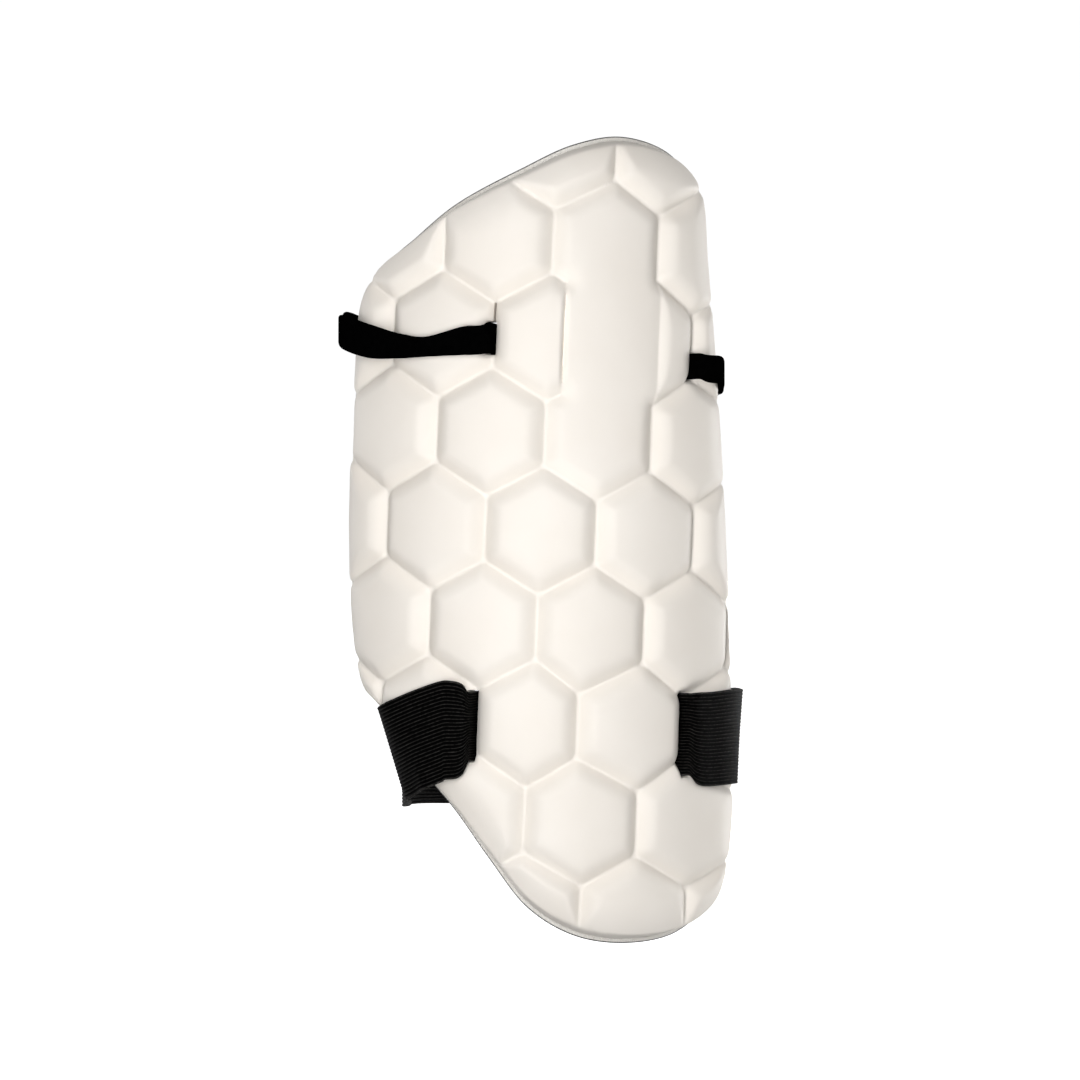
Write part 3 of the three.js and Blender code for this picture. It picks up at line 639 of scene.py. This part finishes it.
class Solid:
    """A closed mesh under construction, in millimetres, with a flat place and a depth for each point; the
    depth sets the painted shade in its colour.
    """

    def __init__(self):
        self.points = []
        self.flat = []
        self.depth = []
        self.faces = []
        self.count = 0

    def add_points(self, points, flat, depth):
        first = self.count
        self.points.append(points)
        self.flat.append(flat)
        self.depth.append(np.broadcast_to(depth, len(points)))
        self.count += len(points)
        return first

    def sheet(self, flat, triangles, lift, depth, facing_out):
        first = self.add_points(wrap(flat[:, 0], flat[:, 1], lift), flat, depth)
        order = triangles if facing_out else triangles[:, ::-1]
        self.faces.extend((order + first).tolist())
        return first

    def wall(self, upper, lower, rings, outer, depth=0.0):
        """Joins two loops of points by way of rings of flat places and lifts between them."""
        count = len(upper)
        loops = [list(upper)]
        for flat, lift in rings:
            first = self.add_points(wrap(flat[:, 0], flat[:, 1], lift), flat, depth)
            loops.append(list(range(first, first + count)))
        loops.append(list(lower))
        for high, low in zip(loops, loops[1:]):
            for i in range(count):
                j = (i + 1) % count
                quad = [high[i], low[i], low[j], high[j]]
                self.faces.append(quad if outer else quad[::-1])

    def mesh(self, name):
        mesh = bpy.data.meshes.new(name)
        mesh.from_pydata((np.vstack(self.points) * MM).tolist(), [], self.faces)
        depth = mesh.attributes.new("painted_shade", "FLOAT", "POINT")
        depth.data.foreach_set("value", np.concatenate(self.depth).astype(np.float32))
        set_uv(mesh, np.vstack(self.flat) / UV_UNIT)
        return mesh


def set_uv(mesh, places):
    """A UV map from a place for each vertex."""
    layer = mesh.uv_layers.new(name="flat")
    vertex = np.zeros(len(mesh.loops), np.int32)
    mesh.loops.foreach_get("vertex_index", vertex)
    layer.data.foreach_set("uv", places[vertex].astype(np.float32).ravel())


def add_object(name, mesh, sharp_degrees, material):
    mesh.validate()
    mesh.shade_smooth()
    mesh.set_sharp_from_angle(angle=math.radians(sharp_degrees))
    mesh.materials.append(material)
    made = bpy.data.objects.new(name, mesh)
    bpy.context.scene.collection.objects.link(made)
    return made


# Pieces

def liner_loop():
    """The outer edge of the backing cloth on the flat pattern."""
    fine = smooth_line(OUTLINE, [OUTLINE_SPAN_STEPS] * len(OUTLINE), closed=True)
    return even_loop(fine, OUTLINE_STEP)


def rolled_edge(edge, roll, top, back):
    """Two rings that stand a little out from an outer edge, between its top and its back."""
    out = drawn_in(edge, -roll["out"])
    return [(out, top - roll["below"]), (out, back + roll["above"])]


def moulded_pad(material):
    """The foam face with its cells, plate, slits and rolled edge, closed behind."""
    rim = drawn_in(liner_loop(), LIP)
    lines = near_pad(groove_lines(), rim)
    plate_loop = plate_outline()
    flat, triangles, loops = triangulate(*face_bed(rim, lines))
    lift, depth = face_lift(flat, lines, rim, plate_loop)
    back_flat, back_triangles, back_loops = triangulate(*plain_bed(rim, BACK_STEP))
    solid = Solid()
    solid.sheet(flat, triangles, lift, depth, True)
    first = solid.sheet(back_flat, back_triangles, SHELL_BACK, 0.0, False)
    for k, (loop, back_loop) in enumerate(zip(loops, back_loops)):
        edge = flat[loop]
        below = [first + i for i in back_loop]
        if k == 0:
            rings = rolled_edge(edge, FOAM_EDGE, RIM_EDGE, SHELL_BACK)
        else:
            rings = [(edge, SHELL_BACK + (lift[loop] - SHELL_BACK) * share) for share in SLIT_WALL_SHARES]
        solid.wall(loop, below, rings, k == 0)
    return add_object("moulded_pad", solid.mesh("moulded_pad"), SHARP_DEGREES, material)


def backing_cloth(material):
    """The thin cloth behind the foam, which shows as a narrow lip round it."""
    loop = liner_loop()
    flat, triangles, loops = triangulate(*plain_bed(loop, LINER_STEP, EDGE_SHADE_WIDTH))
    solid = Solid()
    # Painted shade: a narrow band along the cloth's outer edge darkens to near black
    shade_band = 1 - np.clip(loop_distance(flat, loop) / EDGE_SHADE_WIDTH, 0, 1)
    slack = unevenness(flat) * np.clip(loop_distance(flat, loop) / DOME_REACH, 0, 1)
    solid.sheet(flat, triangles, LINER_FACE, shade_band, True)
    first = solid.sheet(flat, triangles, CLOTH_BACK + slack, 0.0, False)
    for k, hole in enumerate(loops):
        edge = flat[hole]
        below = [first + i for i in hole]
        rings = [(edge, LINER_FACE / 2)]
        if k == 0:
            rings = rolled_edge(edge, CLOTH_EDGE, LINER_FACE, 0.0)
        # The walls round the outer edge and round the slits carry full painted shade
        solid.wall(hole, below, rings, k == 0, 1.0)
    return add_object("backing_cloth", solid.mesh("backing_cloth"), SHARP_DEGREES, material)


# Straps

def slit_knots(entry, thick, sideways):
    """A strap's way through a slit, from the pad's face to its back."""
    front = CELL_TOP + STRAP_CLEARANCE + thick / 2
    behind = -STRAP_CLEARANCE - thick / 2
    middle = slit_middle(SLITS[entry["slit"]])
    knots = []
    for bend in SLIT_BEND:
        lift = bend.get("lift", 0)
        if "below" in bend:
            lift = front - bend["below"]
        if "behind" in bend:
            lift = behind + bend["behind"]
        spread = bend["spread"]
        up = entry["up"] + (entry["open_up"] - entry["up"]) * spread
        width = entry["width"] + (entry["open_width"] - entry["width"]) * spread
        twist = sideways * math.degrees(GRID_LEAN) if "lift" in bend else 0
        knots.append((*wrap(middle[0] + sideways * bend["outward"], up, lift), width, twist, 0))
    return knots


def behind_knots(strap):
    """The stretch between the two slits, flat against the backing cloth."""
    lift = -STRAP_CLEARANCE - strap["thick"] / 2
    ends = []
    for entry in (strap["right_slit"], strap["left_slit"]):
        ends.append(np.array([slit_middle(SLITS[entry["slit"]])[0], entry["up"], entry["width"]]))
    knots = []
    for k in range(1, BEHIND_STEPS):
        around, up, width = ends[0] + (ends[1] - ends[0]) * k / BEHIND_STEPS
        knots.append((*wrap(around, up, lift), width, 0, 1))
    return knots


def pad_knots(rows, thick):
    front = CELL_TOP + STRAP_CLEARANCE + thick / 2
    return [(*wrap(row["around"], row["up"], front), row["width"], 0, row["square"]) for row in rows]


def side_knots(rows):
    return [(row["x"], row["y"], row["up"], row["width"], row["twist"], 1) for row in rows]


def rear_knot(strap, degrees, outward):
    rear, heights = strap["rear"], strap["rear_heights"]
    side, back = math.cos(math.radians(degrees)), math.sin(math.radians(degrees))
    side_height = heights["right"] if side > 0 else heights["left"]
    return (
        rear["middle"] + (rear["half_width"] + outward) * side,
        rear["behind"] + (rear["depth"] + outward) * back,
        heights["back"] * back * back + side_height * side * side,
        rear["width"],
        0,
        1,
    )


def strap_knots(strap):
    """Knots of a strap's middle line: x, y, z, width, twist in degrees and how square its section is
    to its run, from 0 where it stands upright to 1."""
    thick = strap["thick"]
    lap = thick + STRAP_CLEARANCE
    return np.array([
        *[rear_knot(strap, degrees, 0) for degrees in REAR_RIGHT],
        *side_knots(strap["right_side"])[::-1],
        *pad_knots(strap["right_rows"], thick)[::-1],
        *slit_knots(strap["right_slit"], thick, 1),
        *behind_knots(strap),
        *slit_knots(strap["left_slit"], thick, -1)[::-1],
        *pad_knots(strap["left_rows"], thick),
        *side_knots(strap["left_side"]),
        *[rear_knot(strap, degrees, lapped * lap) for degrees, lapped in REAR_LEFT],
    ], float)


def unit(rows):
    return rows / np.linalg.norm(rows, axis=1)[:, None]


class StrapLine:
    """Sections along a strap: middle, run, upright and outward directions, width and place along it."""

    def __init__(self, strap):
        knots = strap_knots(strap)
        lengths = np.linalg.norm(np.diff(knots[:, :3], axis=0), axis=1)
        steps = np.maximum(np.round(lengths / STRAP_STEP), STRAP_STEPS_LEAST).astype(int)
        self.middle = smooth_line(knots[:, :3], steps)
        traits = smooth_line(knots[:, 3:], steps, ease=STRAP_EASE)
        self.width = traits[:, 0]
        self.run = unit(np.gradient(self.middle, axis=0))
        bow = 2 * END_BOW * self.middle[:, 2] / HALF_HEIGHT ** 2
        upright = np.stack([0 * bow, bow, 0 * bow + 1], axis=1)
        upright -= (traits[:, 2] * (upright * self.run).sum(axis=1))[:, None] * self.run
        upright = unit(upright)
        twist = np.radians(traits[:, 1])[:, None]
        self.upright = upright * np.cos(twist) + np.cross(self.run, upright) * np.sin(twist)
        self.outward = unit(np.cross(self.upright, self.run))
        steps_along = np.linalg.norm(np.diff(self.middle, axis=0), axis=1)
        self.along = np.concatenate([[0], np.cumsum(steps_along)])


def strap_ring(face_points, ribs):
    """Section of a strap as rows of across, in half widths of its flat part, edge and through, in half
    thicknesses, and the hollow beside a rib, in millimetres."""
    across = np.linspace(1, -1, face_points)
    hollow = np.zeros(face_points)
    if ribs:
        hollow = RIB_DEPTH * (1 - np.cos(2 * math.pi * ribs * (across + 1) / 2)) / 2
    turn = np.linspace(0, math.pi, EDGE_POINTS + 2)[1:-1]
    ring = [(a, 0, 1, -h) for a, h in zip(across, hollow)]
    ring += [(-1, -math.sin(t), math.cos(t), 0) for t in turn]
    ring += [(a, 0, -1, h) for a, h in zip(across[::-1], hollow)]
    ring += [(1, math.sin(t), -math.cos(t), 0) for t in turn]
    return np.array(ring)


def edge_curl(line, curl):
    """How far a strap's edges bend towards the leg at each section: most at its two side turns."""
    turns = [line.along[np.argmin(line.middle[:, 0])], line.along[np.argmax(line.middle[:, 0])]]
    return sum(curl["depth"] * np.exp(-((line.along - turn) / curl["reach"]) ** 2) for turn in turns)


def strap_piece(name, strap, line, ring, face_points, curl, material):
    """A strap as rings of points along its line, closed at both ends, with each point's height on its rib,
    by which a highlight is painted on the crests.
    """
    half = strap["thick"] / 2
    flat_half = line.width[:, None] / 2 - half
    across = flat_half * ring[None, :, 0] + half * ring[None, :, 1]
    through = half * ring[None, :, 2] + ring[None, :, 3]
    through = through - curl[:, None] * (across / (line.width[:, None] / 2)) ** CURL_POWER
    points = (
        line.middle[:, None, :]
        + across[:, :, None] * line.upright[:, None, :]
        + through[:, :, None] * line.outward[:, None, :]
    )
    sections, count = across.shape
    faces = []
    for s in range(sections - 1):
        for i in range(count):
            j = (i + 1) % count
            a, b = s * count + i, s * count + j
            faces.append((a, a + count, b + count, b))
    for first, flip in ((0, False), ((sections - 1) * count, True)):
        for i in range(face_points - 1):
            facing = count - EDGE_POINTS - 1 - i
            quad = [first + i, first + i + 1, first + facing - 1, first + facing]
            faces.append(tuple(quad[::-1]) if flip else tuple(quad))
        edges = [
            [face_points - 1 + k for k in range(EDGE_POINTS + 2)],
            [(count - EDGE_POINTS - 1 + k) % count for k in range(EDGE_POINTS + 2)],
        ]
        for edge in edges:
            cap = tuple(first + i for i in edge)
            faces.append(cap[::-1] if flip else cap)
    mesh = bpy.data.meshes.new(name)
    mesh.from_pydata((points.reshape(-1, 3) * MM).tolist(), [], faces)
    places = np.stack([np.repeat(line.along, count), across.ravel()], axis=1) / UV_UNIT
    set_uv(mesh, places)
    # Each point's height on its rib, 0 in a hollow and 1 on a crest, by which the material paints a
    # highlight on the crests
    height = mesh.attributes.new("painted_rib_highlight", "FLOAT", "POINT")
    crest = 1 - np.abs(ring[:, 3]) / RIB_DEPTH
    height.data.foreach_set("value", np.tile(crest, sections).astype(np.float32))
    return add_object(name, mesh, STRAP_SHARP_DEGREES, material)


def lap_stitches(name, strap, line, material):
    """Rows of thread across the lap, each stitch a short bent tube that dips into the webbing."""
    points, faces = [], []
    face = strap["thick"] / 2
    for back in STITCH_ROWS:
        s = int(np.argmin(np.abs(line.along - (line.along[-1] - back))))
        room = line.width[s] / 2 - STITCH["margin"]
        for middle in np.arange(-room, room, STITCH["every"]):
            share = np.linspace(-1, 1, STITCH_RINGS)
            across = middle + share * STITCH["length"] / 2
            rise = face + STITCH["radius"] * (STITCH["proud"] - STITCH["dip"] * share ** 4)
            first = len(points)
            for u, n in zip(across, rise):
                for k in range(STITCH_SIDES):
                    turn = 2 * math.pi * k / STITCH_SIDES
                    centre = line.middle[s] + u * line.upright[s] + n * line.outward[s]
                    rim = math.cos(turn) * line.run[s] + math.sin(turn) * line.outward[s]
                    points.append(centre + STITCH["radius"] * rim)
            for r in range(STITCH_RINGS - 1):
                for k in range(STITCH_SIDES):
                    a = first + r * STITCH_SIDES + k
                    b = first + r * STITCH_SIDES + (k + 1) % STITCH_SIDES
                    faces.append((a, b, b + STITCH_SIDES, a + STITCH_SIDES))
            last = first + (STITCH_RINGS - 1) * STITCH_SIDES
            faces.append(tuple(first + k for k in reversed(range(STITCH_SIDES))))
            faces.append(tuple(last + k for k in range(STITCH_SIDES)))
    mesh = bpy.data.meshes.new(name)
    mesh.from_pydata((np.array(points) * MM).tolist(), [], faces)
    return add_object(name, mesh, SHARP_DEGREES, material)


# Materials

def new_material(name):
    material = bpy.data.materials.new(name)
    material.use_nodes = True
    tree = material.node_tree
    return material, tree, tree.nodes["Principled BSDF"]


def add_node(tree, kind, inputs=None, **settings):
    made = tree.nodes.new(kind)
    for key, value in settings.items():
        setattr(made, key, value)
    for key, value in (inputs or {}).items():
        made.inputs[key].default_value = value
    return made


def two_tones(low, high):
    """Stops of a ramp that goes between two colours over the middle of a noise's range."""
    return [(0.3, low), (0.72, high)]


def ramp(tree, source, stops):
    """A colour ramp fed by source, from (place, colour) stops."""
    made = add_node(tree, "ShaderNodeValToRGB")
    elements = made.color_ramp.elements
    while len(elements) < len(stops):
        elements.new(0.5)
    for element, (place, colour) in zip(elements, stops):
        element.position = place
        element.color = (*colour, 1)
    tree.links.new(source, made.inputs["Fac"])
    return made.outputs["Color"]


def bump(tree, height, strength, distance, normal=None):
    made = add_node(tree, "ShaderNodeBump", {"Strength": strength, "Distance": distance * MM})
    tree.links.new(height, made.inputs["Height"])
    if normal is not None:
        tree.links.new(normal, made.inputs["Normal"])
    return made.outputs["Normal"]


def noise(tree, coordinates, size, detail=3.0):
    """Noise whose features are about size millimetres across."""
    made = add_node(tree, "ShaderNodeTexNoise", {"Scale": 1 / (size * MM), "Detail": detail})
    tree.links.new(coordinates, made.inputs["Vector"])
    return made.outputs["Fac"]


def bands(tree, coordinates, pitch, direction, distortion=0.0):
    """Even bands on the flat UV map, pitch in millimetres."""
    scale = (math.pi / 10) / (pitch / UV_UNIT)
    values = {"Scale": scale, "Distortion": distortion, "Detail": 1.0, "Detail Scale": 1.5}
    made = add_node(tree, "ShaderNodeTexWave", values, bands_direction=direction)
    tree.links.new(coordinates, made.inputs["Vector"])
    return made.outputs["Fac"]


def map_range(tree, source, low, high):
    made = add_node(tree, "ShaderNodeMapRange", {"To Min": low, "To Max": high})
    tree.links.new(source, made.inputs["Value"])
    return made.outputs["Result"]


def foam_skin():
    material, tree, shader = new_material("foam_skin")
    place = add_node(tree, "ShaderNodeTexCoord").outputs["Object"]
    tone = ramp(tree, noise(tree, place, 42.0), two_tones((0.84, 0.788, 0.722), (0.87, 0.823, 0.762)))
    # Painted shade: the skin's colour darkens towards a greyer tone near the grooves' lines
    depth = add_node(tree, "ShaderNodeAttribute", attribute_name="painted_shade").outputs["Fac"]
    mix = add_node(tree, "ShaderNodeMix", data_type="RGBA")
    mix.inputs[MIX_SECOND].default_value = (0.74, 0.71, 0.66, 1)
    tree.links.new(map_range(tree, depth, 0.0, 0.3), mix.inputs[MIX_FACTOR])
    tree.links.new(tone, mix.inputs[MIX_FIRST])
    tree.links.new(mix.outputs[MIX_RESULT], shader.inputs["Base Color"])
    tree.links.new(map_range(tree, noise(tree, place, 9.0), 0.54, 0.62), shader.inputs["Roughness"])
    grain = bump(tree, noise(tree, place, 0.8, 4.0), 0.25, 0.1)
    swell = bump(tree, noise(tree, place, 14.0), 0.2, 0.5, grain)
    tree.links.new(swell, shader.inputs["Normal"])
    shader.inputs["Specular IOR Level"].default_value = 0.3
    return material


def liner_cloth():
    material, tree, shader = new_material("liner_cloth")
    flat = add_node(tree, "ShaderNodeUVMap", uv_map="flat").outputs["UV"]
    place = add_node(tree, "ShaderNodeTexCoord").outputs["Object"]
    tone = ramp(tree, noise(tree, place, 20.0), two_tones((0.8, 0.77, 0.72), (0.86, 0.835, 0.79)))
    # Painted shade: the cloth turns near black along its outer edge and on its walls
    edge = add_node(tree, "ShaderNodeAttribute", attribute_name="painted_shade").outputs["Fac"]
    mix = add_node(tree, "ShaderNodeMix", data_type="RGBA")
    mix.inputs[MIX_SECOND].default_value = (0.07, 0.07, 0.07, 1)
    tree.links.new(edge, mix.inputs[MIX_FACTOR])
    tree.links.new(tone, mix.inputs[MIX_FIRST])
    tree.links.new(mix.outputs[MIX_RESULT], shader.inputs["Base Color"])
    wales = bump(tree, bands(tree, flat, 1.3, "X", 0.6), 0.6, 0.25)
    courses = bump(tree, bands(tree, flat, 1.0, "Y", 0.8), 0.5, 0.2, wales)
    tree.links.new(bump(tree, noise(tree, place, 0.5), 0.3, 0.12, courses), shader.inputs["Normal"])
    shader.inputs["Roughness"].default_value = 0.85
    shader.inputs["Sheen Weight"].default_value = 0.15
    return material


def soft_webbing():
    material, tree, shader = new_material("soft_webbing")
    flat = add_node(tree, "ShaderNodeUVMap", uv_map="flat").outputs["UV"]
    place = add_node(tree, "ShaderNodeTexCoord").outputs["Object"]
    tone = ramp(tree, noise(tree, place, 3.0), two_tones((0.0004, 0.0004, 0.0004), (0.001, 0.001, 0.001)))
    tree.links.new(tone, shader.inputs["Base Color"])
    weave = bump(tree, bands(tree, flat, 0.9, "DIAGONAL", 0.5), 0.4, 0.15)
    tree.links.new(bump(tree, noise(tree, place, 0.35, 4.0), 0.5, 0.12, weave), shader.inputs["Normal"])
    shader.inputs["Roughness"].default_value = 0.82
    shader.inputs["Specular IOR Level"].default_value = 0.0
    return material


def ribbed_elastic():
    material, tree, shader = new_material("ribbed_elastic")
    flat = add_node(tree, "ShaderNodeUVMap", uv_map="flat").outputs["UV"]
    place = add_node(tree, "ShaderNodeTexCoord").outputs["Object"]
    # Painted highlight: the rib crests are coloured lighter than the near-black hollows
    height = add_node(tree, "ShaderNodeAttribute", attribute_name="painted_rib_highlight").outputs["Fac"]
    tone = ramp(tree, height, [(0.75, (0.0004, 0.0004, 0.0004)), (1.0, (0.046, 0.044, 0.041))])
    worn = ramp(tree, noise(tree, place, 1.6), two_tones((0.12, 0.12, 0.12), (1.0, 1.0, 1.0)))
    mix = add_node(tree, "ShaderNodeMix", {MIX_FACTOR: 1.0}, data_type="RGBA", blend_type="MULTIPLY")
    tree.links.new(tone, mix.inputs[MIX_FIRST])
    tree.links.new(worn, mix.inputs[MIX_SECOND])
    tree.links.new(mix.outputs[MIX_RESULT], shader.inputs["Base Color"])
    picks = bump(tree, bands(tree, flat, 0.8, "X", 0.4), 0.5, 0.14)
    tree.links.new(bump(tree, noise(tree, place, 0.3, 4.0), 0.4, 0.1, picks), shader.inputs["Normal"])
    shader.inputs["Roughness"].default_value = 0.6
    shader.inputs["Specular IOR Level"].default_value = 0.02
    return material


def black_thread():
    material, tree, shader = new_material("black_thread")
    place = add_node(tree, "ShaderNodeTexCoord").outputs["Object"]
    tone = ramp(tree, noise(tree, place, 0.6), two_tones((0.004, 0.004, 0.004), (0.008, 0.008, 0.008)))
    tree.links.new(tone, shader.inputs["Base Color"])
    shader.inputs["Roughness"].default_value = 0.55
    return material


def floor_paint():
    material, tree, shader = new_material("floor_paint")
    place = add_node(tree, "ShaderNodeTexCoord").outputs["Object"]
    tone = ramp(tree, noise(tree, place, 400.0), two_tones((0.88, 0.88, 0.88), (0.9, 0.9, 0.9)))
    tree.links.new(tone, shader.inputs["Base Color"])
    shader.inputs["Roughness"].default_value = 0.9
    shader.inputs["Emission Color"].default_value = (1, 1, 1, 1)
    shader.inputs["Emission Strength"].default_value = 1.0
    return material


# Floor, light and camera

def add_floor(material):
    half = FLOOR_SIZE / 2 * MM
    height = FLOOR_HEIGHT * MM
    mesh = bpy.data.meshes.new("floor")
    corners = [(-half, -half, height), (half, -half, height), (half, half, height), (-half, half, height)]
    mesh.from_pydata(corners, [], [(0, 1, 2, 3)])
    mesh.materials.append(material)
    floor = bpy.data.objects.new("floor", mesh)
    bpy.context.scene.collection.objects.link(floor)
    floor.visible_diffuse = False
    floor.visible_glossy = False


def add_softbox(name, place, width, height, power):
    """A soft light that faces the pad."""
    data = bpy.data.lights.new(name, "AREA")
    data.shape = "RECTANGLE"
    data.size = width
    data.size_y = height
    data.energy = power
    lamp = bpy.data.objects.new(name, data)
    lamp.visible_camera = False
    lamp.location = place
    lamp.rotation_euler = (-Vector(place)).to_track_quat("-Z", "Y").to_euler()
    bpy.context.scene.collection.objects.link(lamp)


def add_world():
    """White behind the object, and a dimmer light on it from all round, more of it from behind."""
    world = bpy.data.worlds.new("studio")
    world.use_nodes = True
    bpy.context.scene.world = world
    tree = world.node_tree
    tree.nodes.clear()
    seen = add_node(tree, "ShaderNodeBackground", {"Color": (1, 1, 1, 1), "Strength": BACKDROP})
    light = add_node(tree, "ShaderNodeBackground")
    direction = add_node(tree, "ShaderNodeSeparateXYZ")
    tree.links.new(add_node(tree, "ShaderNodeTexCoord").outputs["Generated"], direction.inputs[0])
    rearward = add_node(tree, "ShaderNodeMapRange", {"From Min": -1.0})
    tree.links.new(direction.outputs["Y"], rearward.inputs["Value"])
    tones = [(place, (glow, glow, glow)) for place, glow in WORLD_GLOW]
    tree.links.new(ramp(tree, rearward.outputs["Result"], tones), light.inputs["Color"])
    path = add_node(tree, "ShaderNodeLightPath")
    mix = add_node(tree, "ShaderNodeMixShader")
    out = add_node(tree, "ShaderNodeOutputWorld")
    tree.links.new(path.outputs["Is Camera Ray"], mix.inputs[0])
    tree.links.new(light.outputs[0], mix.inputs[1])
    tree.links.new(seen.outputs[0], mix.inputs[2])
    tree.links.new(mix.outputs[0], out.inputs["Surface"])


def add_camera():
    data = bpy.data.cameras.new("photo_view")
    data.sensor_width = SENSOR
    data.lens = SENSOR * VIEW_DISTANCE / VIEW_WIDTH
    data.clip_end = VIEW_LIMIT
    camera = bpy.data.objects.new("photo_view", data)
    camera.location = [v * MM for v in CAMERA_PLACE]
    camera.rotation_euler = (math.pi / 2, 0, 0)
    bpy.context.scene.collection.objects.link(camera)
    bpy.context.scene.camera = camera


def set_piece(piece, node):
    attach(piece, "root")
    if node:
        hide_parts(node)


add_camera()
add_world()
for softbox, sizes in SOFTBOXES.items():
    add_softbox(softbox, **sizes)
add_floor(floor_paint())

pad = moulded_pad(foam_skin())
set_piece(pad, "pad_shell")

liner = backing_cloth(liner_cloth())
set_piece(liner, "back_liner")

thread = black_thread()
upper_line = StrapLine(UPPER_STRAP)
upper = strap_piece("upper_webbing", UPPER_STRAP, upper_line, strap_ring(UPPER_FACE_POINTS, 0),
                    UPPER_FACE_POINTS, edge_curl(upper_line, UPPER_CURL), soft_webbing())
set_piece(upper, "upper_strap")
upper_stitches = lap_stitches("upper_lap_stitches", UPPER_STRAP, upper_line, thread)
set_piece(upper_stitches, None)

lower_line = StrapLine(LOWER_STRAP)
lower_points = LOWER_RIBS * RIB_POINTS + 1
lower = strap_piece("lower_elastic", LOWER_STRAP, lower_line, strap_ring(lower_points, LOWER_RIBS),
                    lower_points, 0 * lower_line.along, ribbed_elastic())
set_piece(lower, "lower_strap")
lower_stitches = lap_stitches("lower_lap_stitches", LOWER_STRAP, lower_line, thread)
set_piece(lower_stitches, None)

bpy.context.scene.view_settings.view_transform = "Standard"
